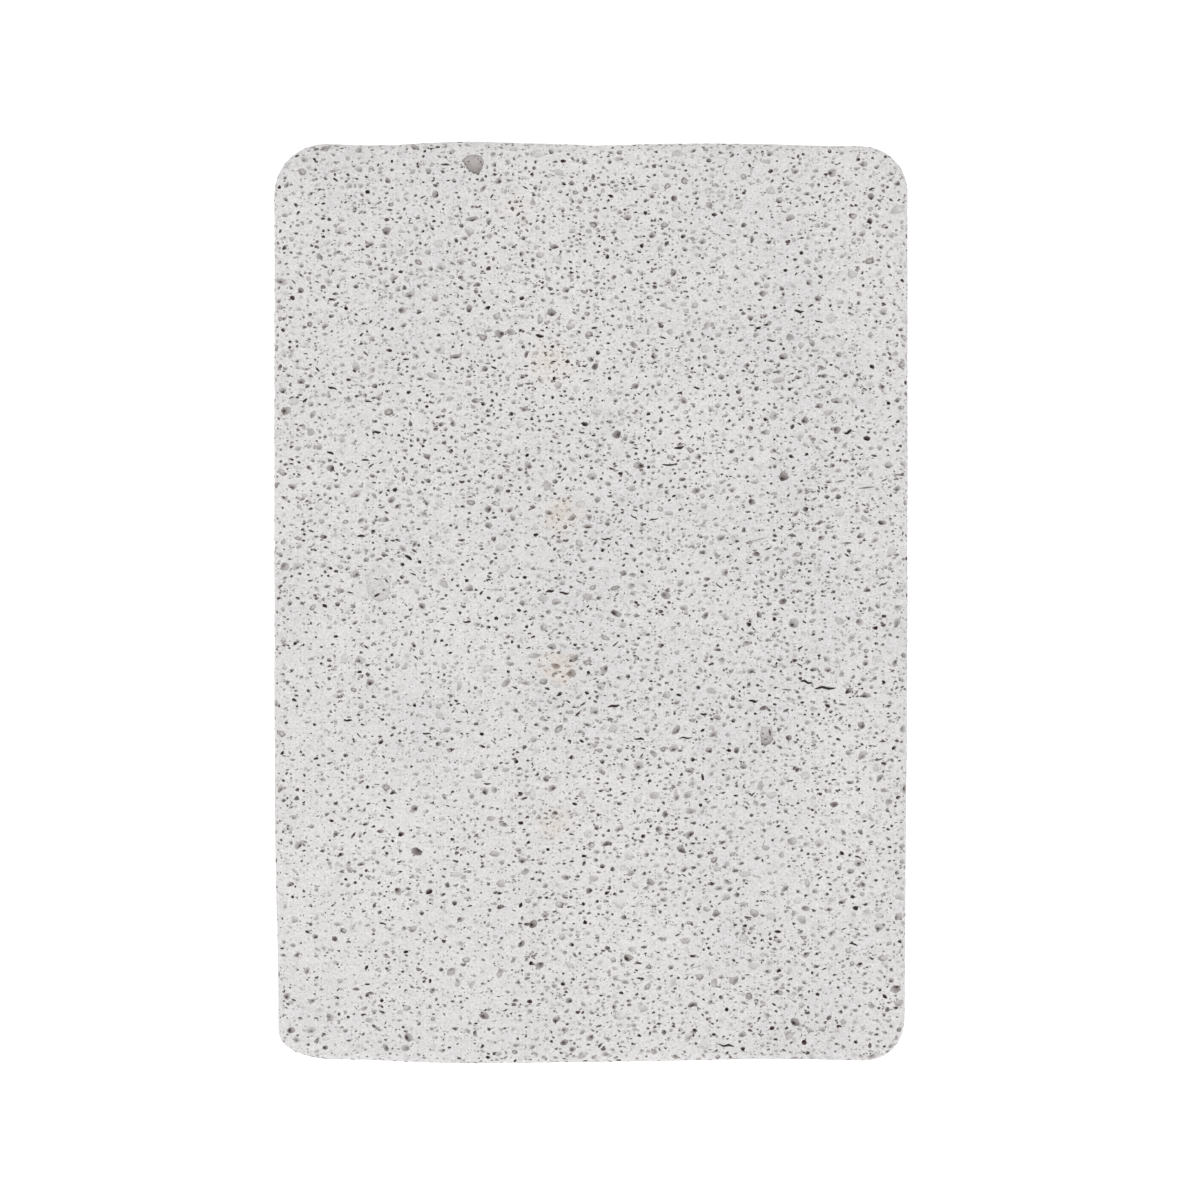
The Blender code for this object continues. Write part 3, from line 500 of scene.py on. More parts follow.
CUPS = marks(
    PoreKind.CUP,
    (8.35, 24.05, .5, .32), (6.9, 22.95, .5, .22, 65), (7.55, 23.1, .5, .4, 20), (9.45, 22.8, .5, .24, -75),
    (3.05, 21.0, .6, .2, 15), (7.8, 19.8, .6, .4, 25), (9.7, 20.35, .36, .3), (4.9, 19.1, .58, .4, -40),
    (12.35, 19.2, .65, .55), (10.8, 18.6, .5, .36), (19.1, 17.5, .42, .3), (8.45, 17.85, .55, .5),
    (11.8, 16.25, .55, .5), (4.2, 16.25, .5, .24, 30), (13.75, 15.8, .45, .3), (3.5, 14.6, .42, .4, 90),
    (16.65, 14.95, .6, .4, -20), (19.25, 14.85, .6, .42), (12.3, 14.55, .5, .3, 35),
    (3.15, 13.85, .42, .24, 20), (8.6, 12.98, .48, .28, -35), (5.1, 12.6, .6, .5, 20),
    (7.1, 12.55, .5, .24, -25), (6.0, 12.05, .55, .32, -15), (11.35, 12.35, .4, .32, 60),
    (1.95, 12.2, .6, .28, -35), (15.9, 11.7, 1.0, .3, -5), (14.0, 23.3, .42, .3), (-16.5, 18.7, .5, .45),
    (-15.55, 18.55, .45, .45), (-14.3, 18.7, .6, .42, 90), (-11.15, 18.1, .55, .4), (-11.45, 19.05, .6, .4),
    (-4.9, 18.95, .75, .28, -5), (-4.3, 17.0, .55, .32, 20), (-5.7, 16.8, .45, .26, -15),
    (-9.95, 17.4, .6, .42), (-11.7, 16.4, .6, .48), (-12.3, 13.1, .7, .45), (-10.65, 13.75, .6, .45),
    (-9.45, 13.8, .45, .42), (-3.1, 14.7, .5, .42), (-1.55, 18.6, .5, .4, -30), (-10.4, 11.65, .5, .4),
    (-14.8, 12.2, .55, .24), (-17.3, 11.4, .5, .32), (-14.9, 11.05, .6, .42), (-11.1, 11.0, .5, .36, 90),
    (-9.5, 22.15, .6, .4, -20), (-9.3, 21.4, .45, .4), (-17.25, 22.85, .7, .4), (-.75, 22.55, .36, .34),
    (14.5, -10.15, .6, .55), (21.1, -11.7, .75, .5, 25), (21.95, -11.5, .45, .42), (21.65, -12.7, .5, .45),
    (23.65, 10.95, .8, .4, 15), (25.95, 9.0, .6, .55), (29.35, 7.65, .6, .44, 15), (27.9, 6.8, .65, .4),
    (28.75, 6.9, .45, .4), (27.3, 12.45, .6, .5, 90), (25.5, 11.65, .5, .4, 90), (24.75, 15.25, .6, .55, 70),
    (27.35, 15.05, .6, .45), (28.15, 15.1, .6, .58), (19.7, 7.7, .5, .38, -20), (16.6, 6.2, 1.9, .16, 14),
    (21.55, 5.4, .5, .45), (23.75, 5.45, .5, .45), (18.1, 5.3, .6, .4, 30), (16.15, 1.9, .6, .55),
    (19.6, 2.05, 1.3, .16), (24.05, 2.45, .48, .45), (24.95, 2.45, .5, .45, 90),
)
PITS = marks(
    PoreKind.PIT,
    (27.3, 39.6, .7, .7, 90), (-11.6, 37.4, 1.3, .5, 8), (-13.2, 24.0, 1.2, .5, 5), (4.3, 21.1, .8, .6, 10),
    (18.8, 12.3, 1.0, 1.0, -30), (2.8, 43.9, .7, .5), (11.5, -14.4, .8, .6), (-10.4, -40.3, 1.0, .7, -10),
    (19.9, -40.9, 1.0, .8, -30), (-29.2, -41.8, .9, .8, 90), (-17.8, -42.4, .9, .8, -25),
    (-2.6, -42.9, .9, .6, 25), (-20.0, -43.4, .9, .5, -55),
)
BOWLS = marks(
    PoreKind.BOWL,
    (-17.4, 42.0, .6, .5, 10), (-5.0, 33.9, .8, .7), (-27.5, 31.6, .6, .5, -10), (-9.2, 27.9, .8, .7),
    (-15.4, 22.1, 1.4, .6, -18), (23.1, 18.5, 1.0, .6, 10), (-27.3, 16.6, .8, .8, 40), (-26.3, 7.9, .6, .6),
    (-4.6, -2.4, .8, .7), (-5.6, -5.2, 1.5, .5, 6), (-11.0, -16.8, .9, .8, 110), (16.5, -17.9, .9, .7, 70),
    (6.2, -18.8, 1.0, .8), (17.0, -23.9, .9, .6, -20), (-9.5, -24.5, 1.0, .6, -10),
    (-8.8, -27.4, .9, .8, -50), (-28.9, -30.9, .8, .7, 110), (12.0, -37.1, .9, .7, 90), (19.3, -42.2, .9, .8),
    (17.1, 43.0, 1.0, .5), (25.0, 40.9, .9, .5), (-23.7, 43.3, .55, .5), (-14.4, 28.1, .8, .45),
    (-5.4, 24.3, .8, .45, 10), (24.3, 29.3, .8, .5), (7.7, 26.4, .7, .6), (18.3, 26.7, .7, .5),
    (20.5, 25.1, .7, .6, 90), (13.9, 35.2, .65, .5), (12.0, 33.3, 1.0, .35, 15), (-12.0, 21.4, .75, .65),
    (-3.2, 21.2, .85, .75), (-12.9, 19.0, .6, .55), (-12.4, 16.0, .7, .5), (-4.3, 11.4, 1.1, .85, 90),
    (2.9, 18.5, .8, .6), (7.7, 14.2, .7, .5), (21.7, 13.1, .7, .6), (4.0, 11.1, .8, .6), (11.0, 9.4, .7, .6),
    (7.6, 8.7, .9, .5), (20.0, 3.9, .7, .65), (12.2, 4.7, .8, .45, -60), (16.6, 2.9, .8, .45, -45),
    (3.1, -2.2, .75, .65), (7.4, -9.0, .9, .75), (11.7, -8.6, 1.2, .6, -20), (25.4, -3.4, 1.1, .45, 50),
    (-12.8, -8.1, .9, .5, 90), (-8.3, -16.3, .8, .5), (-.9, -18.7, .7, .6, 90), (-9.7, -21.1, 1.0, .45, 15),
    (-2.8, -32.6, .7, .7), (-24.5, -36.9, .65, .5), (-11.6, -37.2, 1.0, .4, 45), (-4.3, -37.6, .65, .55),
    (-9.0, -44.0, .7, .5), (.3, -26.9, 1.1, .6), (13.3, -25.5, .6, .55), (18.6, -24.6, .7, .6, 90),
    (13.3, -28.7, .7, .65), (14.9, -29.4, .75, .5), (4.0, -33.8, .9, .55), (24.6, -40.9, .7, .6, 100),
    (8.4, -4.9, .6, .5), (-30.0, -.65, .6, .45, 90), (-30.0, -3.7, .7, .6, 90), (-28.5, -4.5, .45, .35),
    (-19.2, -4.1, .55, .5), (-10.55, -4.4, .7, .5), (-11.3, .6, .5, .3, 90), (-18.9, -6.1, .75, .5, 80),
    (-18.2, -6.35, .7, .45, 15), (-15.2, -5.95, .5, .45), (-14.35, -6.3, .6, .5), (-13.75, -7.8, .5, .45),
    (-22.4, -10.0, .5, .5), (-20.15, -10.45, .5, .3), (-10.8, -8.7, .5, .5), (-16.0, -8.7, .5, .4),
    (-21.15, -24.3, .6, .5, 90), (-11.45, -22.35, .5, .35), (-12.9, -21.1, .5, .45), (-11.25, -19.6, .6, .5),
    (-25.4, -25.8, .5, .3, 90), (-28.85, -26.2, .9, .35, -40), (-22.15, -27.4, .45, .4),
    (-19.75, -26.35, .6, .55), (-29.8, -29.5, .8, .35, 80), (-12.2, -27.15, .6, .3, -10),
    (-11.1, -27.0, .6, .4), (-16.9, -26.1, .5, .5), (-13.5, 44.0, .5, .5), (-7.75, 41.2, .45, .35),
    (2.35, 41.8, .4, .4), (1.15, 40.15, .5, .45), (-8.45, 40.1, .6, .5), (-5.1, 39.7, .45, .35, 90),
    (-9.2, 38.2, .5, .45, 90), (-.95, 38.25, .6, .5), (-.1, 38.2, .5, .45), (-1.8, 36.25, .7, .5),
    (-.2, 36.2, .7, .55), (-5.2, 36.55, .6, .5, -45), (-3.8, 36.6, .6, .4), (-17.1, 36.45, .5, .5),
    (-18.55, 36.2, .55, .4), (-18.05, 39.85, .6, .35, 35), (-14.0, 39.6, .5, .45, 90), (.45, 33.7, .5, .3),
    (-17.9, 31.5, .7, .45, 90), (-16.6, 31.75, .8, .3, 25), (-4.2, 31.55, .55, .45), (3.85, 33.4, .6, .35),
    (-13.75, 19.85, .85, .55, 25), (-10.35, 16.8, .5, .42),
)
PANS = marks(
    PoreKind.PAN,
    (6.3, 40.5, .8, .8), (14.1, 27.8, 1.1, .6, 8), (-6.9, 17.4, .9, .8), (24.2, 8.8, 1.1, .9),
    (3.7, -24.7, 1.0, .9, 90), (-13.1, -26.5, 1.1, .6, -5), (14.4, 38.7, .85, .8), (18.6, 29.4, 1.1, .5),
    (23.4, 27.7, 1.0, 1.0), (10.1, 42.5, 1.2, .4), (-1.4, 20.8, .7, .7), (-29.0, 19.6, 1.1, .8),
    (-1.0, 9.6, 1.0, .8), (-26.5, 9.3, .9, .8), (-14.8, 9.7, .8, .6), (-8.8, 5.4, 1.1, .8),
    (-16.8, 3.3, .8, .4, 20), (.5, 18.6, 1.2, .6), (29.3, 5.0, .9, .9), (5.2, -7.1, .7, .7),
    (20.9, -16.9, 1.0, .9), (-14.0, -16.3, .7, .6), (-2.1, -35.3, .8, .7), (28.1, -30.5, .8, .6),
    (14.9, -32.7, .9, .8), (17.6, -30.6, 1.0, .8), (19.5, -38.4, .9, .7), (2.8, -40.3, 1.4, .8),
    (-26.45, .2, .6, .5), (-25.45, -1.5, .55, .5), (-21.8, -1.5, .6, .5, 90), (-20.65, -5.3, .6, .5),
    (-22.6, -24.3, .7, .6, 90), (-23.5, -28.6, .8, .5, 90), (-8.15, 32.65, 1.0, .65), (13.55, 22.4, .85, .6),
    (9.2, 13.25, .7, .6), (12.25, 10.9, .5, .6), (-1.05, 11.1, .6, .5), (-8.0, 16.1, .8, .6),
)
NESTS = marks(
    PoreKind.NEST,
    (19.8, -2.0, 1.1, 1.0), (4.7, -15.9, 1.0, .9, 70), (24.2, 24.2, .7, .65), (26.0, -25.4, .9, .7),
    (18.3, -33.0, .8, .5),
)
RINGS = marks(
    PoreKind.RING,
    (7.0, -14.3, .6, .6), (15.4, -38.4, .8, .75), (12.0, -25.1, .8, .6, 45), (-19.5, 38.8, .55, .5),
)
SOCKETS = marks(
    PoreKind.SOCKET,
    (-22.8, -19.8, .5, .45), (-25.1, -20.4, .45, .3), (-22.9, -21.3, .5, .25, 30), (-14.8, 43.5, .6, .3, -20),
    (-1.3, 43.1, .5, .4, 90), (-1.9, 40.9, .65, .55), (2.05, 41.0, .5, .4), (-3.0, 40.05, .6, .35, 10),
    (-7.3, 39.1, .6, .4), (-10.0, 37.2, .6, .5), (-6.55, 37.45, .55, .5, 90), (-2.75, 38.3, .6, .5, 80),
    (1.55, 34.4, .6, .45), (12.7, 22.0, .7, .6), (13.9, 18.95, .55, .4), (15.55, 17.0, .6, .55),
    (7.4, 10.8, .5, .5), (6.8, 11.35, .7, .5, 35), (14.55, 19.85, .55, .5), (11.5, 23.0, .5, .4),
    (17.0, 22.45, .6, .4), (9.65, 17.7, .45, .36), (18.25, 23.2, .5, .5), (-13.45, 17.45, .72, .55, 90),
    (-18.3, 12.1, .75, .5, 90), (-3.5, 11.8, .6, .55), (-6.05, 11.15, .55, .5, 90),
    (-1.05, 15.75, .45, .4, 90), (-10.0, 18.7, .7, .4), (-6.45, 18.85, .8, .5), (-10.35, 22.8, .7, .62),
    (-8.85, 12.25, .65, .58, 90), (23.1, -6.55, .75, .55), (26.85, 8.9, .6, .5), (23.5, 13.35, .65, .5, 30),
    (23.75, 6.4, .5, .46),
)
SLITS = marks(
    PoreKind.SLIT,
    (20.3, 28.4, 1.0, .4, -8), (-5.0, 26.0, .9, .4, -12), (1.5, 6.2, 1.1, .26), (-17.8, 4.4, .9, .4, -30),
    (21.0, -7.75, 1.25, .4, -16), (15.8, -9.6, .9, .35, -12), (13.2, -43.2, 1.7, .32, -5),
    (-25.2, 20.9, 1.0, .3, -15), (-21.7, 19.6, .7, .22), (-20.9, 16.6, .9, .35), (-25.4, 14.6, .8, .35, -20),
    (-22.0, 13.9, .8, .3, -5), (-22.4, 6.5, .9, .3), (-4.0, 1.1, .9, .35, 5), (-2.6, .9, 1.0, .3, -10),
    (25.1, 16.6, .9, .4, 30), (8.6, 15.1, 1.1, .35, 10), (7.6, 13.4, 1.4, .25), (4.2, 8.3, .8, .2, -30),
    (6.1, 8.1, 1.0, .2, 10), (12.5, 1.6, .9, .2, -35), (28.5, 1.8, 1.0, .2, 25), (17.7, 25.5, .7, .22),
    (22.2, 27.4, .8, .28, -15), (2.2, -10.1, 1.3, .35, 5), (11.0, -10.9, .8, .28), (4.7, -13.3, 1.1, .28),
    (9.2, -13.2, 1.4, .22), (19.4, -17.4, .7, .22, 15), (-10.1, -17.7, .8, .22), (-12.1, -1.9, .9, .28),
    (-23.7, -11.5, .9, .35), (-16.0, -12.8, .9, .28), (-20.3, -31.3, .75, .25, -15),
    (25.6, -33.3, .9, .28, -15), (10.3, 20.9, .7, .3, -15), (22.85, -8.35, 2.2, .36, -1),
)
FACE_MARKS = (*WELLS, *HOLLOWS, *CUPS, *PITS, *BOWLS, *PANS, *NESTS, *RINGS, *SOCKETS, *SLITS)


@dataclass(frozen=True)
class Dish:
    """A large pore of the face with an outline of its own and a floor with marks in it."""

    x: float
    y: float
    depth: float  # at the near side of its floor
    rise: float  # how much less deep the floor's far side is
    floor: float  # its size as a share of the rim
    shade: float  # the painted shade of its middle, from 0 to 1
    near_shade: float  # painted shadow: how much darker its near end is, under its near wall
    rim: tuple[tuple[float, float], ...]  # round its middle, anticlockwise
    marks: tuple[Mark, ...]  # the pores in its floor, placed from its middle

    def ring(self, size: float) -> list[tuple[float, float]]:
        """Return the rim's points on the face, drawn in to a share of their reach."""
        return [(self.x + u * size, self.y + v * size) for u, v in self.rim]

    def _up(self, y: float) -> float:
        """Return how far up its length a spot is, from -1 at the near end to 1 at the far end."""
        return (y - self.y) / max(v for _, v in self.rim)

    def sink(self, y: float) -> float:
        """Return how deep the floor lies at a spot."""
        return self.depth - self.rise * (0.5 + 0.5 * self._up(y))

    def tone(self, y: float) -> float:
        """Return the dish's painted shade at a spot."""
        return self.shade - self.near_shade * self._up(y)


FACE_DISHES = (
    Dish(-11.5, 42.7, 0.70, 0.30, 0.94, 0.40, 0.14, (
        (1.00, -0.06), (1.06, 0.16), (0.98, 0.44), (0.84, 0.80), (0.38, 0.96), (-0.14, 0.99), (-0.60, 0.88),
        (-0.84, 0.66), (-1.10, 0.36), (-0.92, 0.20), (-0.86, 0.00), (-0.62, -0.18), (-0.70, -0.32),
        (-0.46, -0.50), (-0.42, -0.72), (-0.14, -0.70), (0.00, -0.90), (0.28, -0.90), (0.48, -1.06),
        (0.62, -0.96), (0.68, -0.72), (0.86, -0.46),
    ), (
        *marks(
            PoreKind.SPECK,
            (-0.46, 0.38, 0.28, 0.20), (0.72, 0.34, 0.28, 0.24, 40), (0.48, 0.62, 0.20, 0.16),
        ),
        Mark(PoreKind.CUP, -0.40, -0.30, 0.24, 0.18),
    )),
    Dish(-20.7, 1.9, 0.24, 0.08, 0.95, 0.07, 0.06, (
        (1.18, 0.30), (0.95, 0.95), (0.50, 1.50), (-0.10, 1.80), (-0.70, 1.40), (-1.10, 0.75), (-1.22, 0.0),
        (-1.15, -0.65), (-0.95, -1.15), (-0.50, -1.60), (0.20, -1.80), (0.75, -1.60), (1.05, -1.00),
    ), (
        *marks(PoreKind.STROKE, (-0.28, 0.41, 0.58, 0.17, -14), (0.72, 0.26, 0.70, 0.20, -55)),
        Mark(PoreKind.SOCKET, 0.50, -0.65, 0.42, 0.36),
        Mark(PoreKind.WELL, -0.16, -1.15, 0.80, 0.28, 28),
        Mark(PoreKind.SPECK, 0.32, 0.66, 0.20, 0.14),
        *marks(PoreKind.CUP, (-0.86, 0.02, 0.24, 0.16, -60), (-0.05, -0.28, 0.40, 0.10, 70)),
    )),
    Dish(17.1, -13.0, 0.42, 0.26, 0.95, 0.29, 0.15, (
        (0.66, -0.30), (0.60, 0.10), (0.54, 0.90), (0.05, 0.88), (-0.50, 0.92), (-0.58, 0.30), (-0.62, 0.02),
        (-0.50, -0.30), (-0.52, -0.92), (-0.10, -1.00), (0.38, -0.78),
    ), marks(
        PoreKind.STROKE,
        (0.36, 0.34, 0.84, 0.26, 98), (-0.34, 0.20, 0.36, 0.18, -24), (-0.06, -0.36, 0.50, 0.20, 2),
    )),
)


@dataclass(frozen=True)
class Flow:
    """The way the pores lie at one place of the face."""

    x: float
    y: float
    turn: float  # the pores' mean turn from X, in degrees


FLOWS = (
    Flow(-20.0, 35.0, -5.0), Flow(20.0, 35.0, 3.0), Flow(-20.0, 8.0, -5.0), Flow(20.0, 8.0, 10.0),
    Flow(-20.0, -25.0, 5.0), Flow(20.0, -25.0, 3.0),
)
FLOW_REACH = 10.0  # how far one flow holds before the next takes over


def flow_turn(x: float, y: float) -> float:
    """Find the pores' mean turn at a place.

    Args:
        x: The place along X.
        y: The place along Y.

    Returns:
        The turn from X, in radians.
    """
    weights = [1.0 / ((x - flow.x) ** 2 + (y - flow.y) ** 2 + FLOW_REACH ** 2) for flow in FLOWS]
    mean = sum(weight * flow.turn for weight, flow in zip(weights, FLOWS)) / sum(weights)
    return math.radians(mean)


@dataclass(frozen=True)
class Spot:
    """A place on one half of the skin."""

    x: float  # on the half's chart
    y: float
    along: float = 0.0  # the distance along the rim, for a spot at the rim or past it
    past: float = -99.0  # how far past the rim it is, over the rounded edge and down the side
    on_rim: bool = False  # whether along and past place it, and not x and y
    tilt: float = 0.0  # the turn of its own first direction from X


MOUTH_SLACK = 1.12  # the most that a mouth bulges, as a share of its size
MOUTH_LIMITS = (0.34, 0.46, 0.62, 0.80, 1.0)  # the mean widths at which a mouth gets one point more
MOUTH_POINTS = (4, 5, 6, 7, 8, 9)
SLIT_POINTS = 10
SLIT_BEND = 0.045  # how far a slit winds to each side, as a share of its length


@dataclass(frozen=True)
class Pore:
    """A pore in the skin."""

    spot: Spot
    wide: float
    high: float
    turn: float  # in the spot's own directions
    kind: PoreKind
    tone: float = 1.0  # how dark its painted shade is, against what is usual for its kind
    sink: float = 0.0  # how deep its mouth lies

    @property
    def points(self) -> int:
        """Count the points round its mouth.

        Returns:
            More points for a wider pore.
        """
        if self.kind is PoreKind.SLIT:
            return SLIT_POINTS
        return MOUTH_POINTS[bisect_right(MOUTH_LIMITS, math.sqrt(self.wide * self.high))]

    def reach(self, direction: float) -> float:
        """Measure how far it reaches to one side.

        Args:
            direction: The direction among the spot's own, in radians.

        Returns:
            The distance from its middle.
        """
        away = direction - self.turn
        high = self.high + (2.0 * SLIT_BEND * self.wide if self.kind is PoreKind.SLIT else 0.0)
        return MOUTH_SLACK * math.hypot(self.wide / 2 * math.cos(away), high / 2 * math.sin(away))


@dataclass
class Crowd:
    """The pores placed so far on one half of the skin, kept in cells to find the near ones."""

    rim: Rim
    dishes: tuple[Dish, ...]  # no pore may touch them
    cell: float = 2.4  # pores that touch are never farther apart
    chart_reach: float = 1.6  # how far past the rim a pore still counts on the chart
    pores: list[Pore] = field(default_factory=list)
    flat_cells: dict[tuple[int, int], list[Pore]] = field(default_factory=dict)
    rim_cells: dict[tuple[int, int], list[Pore]] = field(default_factory=dict)

    def __post_init__(self) -> None:
        """Divide the rim into whole cells."""
        self.rim_count = int(self.rim.length // self.cell)
        self.rim_cell = self.rim.length / self.rim_count

    def _flat_cell(self, spot: Spot) -> tuple[int, int]:
        """Return the cell of the chart that holds a spot."""
        return math.floor(spot.x / self.cell), math.floor(spot.y / self.cell)

    def _rim_cell(self, spot: Spot) -> tuple[int, int]:
        """Return the cell along and past the rim that holds a spot."""
        return math.floor(spot.along / self.rim_cell) % self.rim_count, math.floor(spot.past / self.cell)

    def add(self, pore: Pore) -> None:
        """Take a pore in.

        Args:
            pore: The pore.
        """
        self.pores.append(pore)
        if pore.spot.past < self.chart_reach:
            self.flat_cells.setdefault(self._flat_cell(pore.spot), []).append(pore)
        if pore.spot.on_rim:
            self.rim_cells.setdefault(self._rim_cell(pore.spot), []).append(pore)

    def _near(self, spot: Spot) -> Iterator[tuple[Pore, float, float, float]]:
        """Go through the pores near a spot.

        Args:
            spot: The place to look round.

        Yields:
            A pore, its distance from the spot, and the direction to it, first in the spot's own
            directions and then in the pore's.
        """
        cell_x, cell_y = self._flat_cell(spot)
        for near_x in (cell_x - 1, cell_x, cell_x + 1):
            for near_y in (cell_y - 1, cell_y, cell_y + 1):
                for pore in self.flat_cells.get((near_x, near_y), ()):
                    if spot.on_rim and pore.spot.on_rim:
                        continue
                    away_x, away_y = pore.spot.x - spot.x, pore.spot.y - spot.y
                    direction = math.atan2(away_y, away_x)
                    yield pore, math.hypot(away_x, away_y), direction - spot.tilt, direction - pore.spot.tilt
        if not spot.on_rim:
            return
        cell_s, cell_t = self._rim_cell(spot)
        for near_s in (cell_s - 1, cell_s, cell_s + 1):
            for near_t in (cell_t - 1, cell_t, cell_t + 1):
                for pore in self.rim_cells.get((near_s % self.rim_count, near_t), ()):
                    away_s = pore.spot.along - spot.along
                    away_s -= self.rim.length * round(away_s / self.rim.length)
                    away_t = spot.past - pore.spot.past
                    direction = math.atan2(away_t, away_s)
                    yield pore, math.hypot(away_s, away_t), direction, direction

    def has_room(self, pore: Pore, wall: float) -> bool:
        """Tell whether a pore would leave a wall between itself and all others.

        Args:
            pore: The pore to place.
            wall: The least wall.

        Returns:
            True if there is room for it.
        """
        for other, distance, direction, back in self._near(pore.spot):
            if distance < pore.reach(direction) + other.reach(back) + wall:
                return False
        for dish in self.dishes:
            if gap_to_ring(pore.spot.x, pore.spot.y, dish.ring(1.0)) < pore.wide / 2 * MOUTH_SLACK + wall:
                return False
        return True


def gap_to_ring(x: float, y: float, ring: list[tuple[float, float]]) -> float:
    """Measure how far a spot is outside a closed ring of points.

    Args:
        x: The spot's x.
        y: The spot's y.
        ring: The ring's points.

    Returns:
        The distance to the ring, or minus one inside it.
    """
    inside = False
    nearest = math.inf
    for (x0, y0), (x1, y1) in zip(ring, ring[1:] + ring[:1]):
        if (y0 > y) != (y1 > y) and x < (x1 - x0) * (y - y0) / (y1 - y0) + x0:
            inside = not inside
        step_x, step_y = x1 - x0, y1 - y0
        share = ((x - x0) * step_x + (y - y0) * step_y) / (step_x ** 2 + step_y ** 2)
        share = min(max(share, 0.0), 1.0)
        nearest = min(nearest, math.hypot(x - x0 - share * step_x, y - y0 - share * step_y))
    return -1.0 if inside else nearest


# ---- How pores are sown and cut ----


@dataclass(frozen=True)
class KindMix:
    """The kinds of pore that are sown up to a mean width."""

    below: float  # the mean width
    shares: dict[PoreKind, float]


KIND_MIXES = (
    KindMix(0.40, {
        PoreKind.SPECK: 0.42, PoreKind.DIMPLE: 0.18, PoreKind.CUP: 0.14, PoreKind.STROKE: 0.10,
        PoreKind.SPOT: 0.16,
    }),
    KindMix(0.50, {
        PoreKind.DIMPLE: 0.28, PoreKind.SPOT: 0.30, PoreKind.CUP: 0.26, PoreKind.WELL: 0.10,
        PoreKind.STROKE: 0.06,
    }),
    KindMix(0.65, {
        PoreKind.DIMPLE: 0.26, PoreKind.SPOT: 0.28, PoreKind.CUP: 0.22, PoreKind.SOCKET: 0.16,
        PoreKind.RING: 0.08,
    }),
    KindMix(0.85, {
        PoreKind.DIMPLE: 0.22, PoreKind.SPOT: 0.24, PoreKind.SOCKET: 0.26, PoreKind.PIT: 0.14,
        PoreKind.RING: 0.14,
    }),
    KindMix(1.30, {PoreKind.BOWL: 0.30, PoreKind.PIT: 0.16, PoreKind.NEST: 0.24, PoreKind.PAN: 0.30}),
)


@dataclass(frozen=True)
class Habit:
    """How the sown pores vary."""

    stretch: tuple[float, float] = (1.48, 0.32)  # the mean and the spread of their length over their width
    stroke: tuple[float, float] = (1.5, 2.4)  # how much longer still a stroke is
    swing: float = 27.0  # the stray from the rock's flow, in degrees
    wall_swing: float = 14.0  # the stray from level on the sides, in degrees
    # the ranges by which each pore's painted shade is scaled
    tones: tuple[float, float] = (0.40, 1.20)
    deep_tones: tuple[float, float] = (0.70, 1.35)  # for a kind that is dark at its mouth
    deep_from: float = 0.4  # the shade from which a mouth counts as dark
    tries: int = 12  # the spots tried for a pore before it is left out
    wall: float = 0.045  # the least wall between two pores
    flat_margin: float = 0.7  # how far inside the rim the edge's pores begin
    seam_margin: float = 0.25  # how far all keep from the seam


@dataclass(frozen=True)
class CutStyle:
    """How unevenly pores are cut, and to which side their painted shade leans."""

    waves: tuple[tuple[int, float], ...] = ((2, 0.10), (3, 0.20), (4, 0.10))  # crests and greatest height
    jitter: float = 0.18  # how far a mouth's point strays, as a share of a step
    depths: tuple[float, float] = (0.8, 1.2)  # a pore's depth against what is usual
    swing: float = 80.0  # how far the side darkened by painted shade strays from the near one, in degrees
    shade_leans: tuple[float, float] = (0.0, 0.9)  # how much darker the painted shade makes that side
    shadow_crescent: float = 0.24  # painted shadow: how much darker still a crisp edge is there
    edge_depth: float = 0.5  # the greatest depth near the rim
    edge_reach: float = 3.0  # how far past the rim that holds
    slit_widths: tuple[float, float] = (0.55, 1.10)
    slit_foot: float = 0.3  # its width, as a share of the mouth's
    slit_wind: float = 4.5  # how far the winding turns from the middle to an end


@dataclass(frozen=True)
class FillNet:
    """The points that carry the surface between the pores round its curves."""

    flat_step: float = 3.0
    edge_step: float = 0.9
    wall_step: float = 2.4
    edge_rows: tuple[float, ...] = (0.0, 0.25, 0.5, 0.75, 1.0)  # shares of the edge's arc
    wall_reach: float = 8.0  # how far down the side its rows go
    flat_sway: tuple[float, float] = (0.1, 0.9)  # where in its step a point may lie
    row_sway: tuple[float, float] = (0.2, 0.8)
    row_drift: float = 0.05  # how far a point strays from its row
    rim_gap: float = 0.6  # how far inside the rim the flat's points stay
    seam_gap: float = 0.35
    pore_gap: float = 0.09
    dot: float = 0.02  # the width that a point counts as


@dataclass(frozen=True)
class Openness:
    """How readily pores lie in the rock, patch by patch."""

    patch: float = 5.0  # the size of the patches
    usual: float = 0.78
    sway: float = 0.5
    least: float = 0.2
    back_level: float = 40.0  # the back's patches differ from the face's
    sparse_x: float = -8.0  # up to this x and y, the near left of the face has fewer pores
    sparse_y: float = 2.0
    sparse: float = 0.37  # how readily they lie there, as a share of elsewhere

    def at(self, x: float, y: float, upward: bool) -> float:
        """Find how readily pores lie at a place.

        Args:
            x: The place along X.
            y: The place along Y.
            upward: Whether it is on the face.

        Returns:
            A share from 0 to 1.
        """
        level = 0.0 if upward else self.back_level
        share = self.usual + self.sway * noise.noise(Vector((x, y, level)) / self.patch)
        if upward and x < self.sparse_x and y < self.sparse_y:
            share *= self.sparse
        return min(max(share, self.least), 1.0)


@dataclass(frozen=True)
class Sowing:
    """How densely pores are sown on a stretch of skin."""

    density: float  # pores to the square millimetre
    least: float  # the least mean width
    spread: float = 0.135  # how fast wider pores grow rarer
    most: float = 1.15  # the greatest mean width


@dataclass(frozen=True)
class HalfPlan:
    """What tells the two halves of the skin apart."""

    upward: bool  # whether its face looks up
    seed: int
    flat: Sowing
    edge: Sowing
    wall: Sowing
    marks: tuple[Mark, ...] = ()  # the pores that stand out on its face
    dishes: tuple[Dish, ...] = ()  # the large pores of its face


# ---- The skin ----

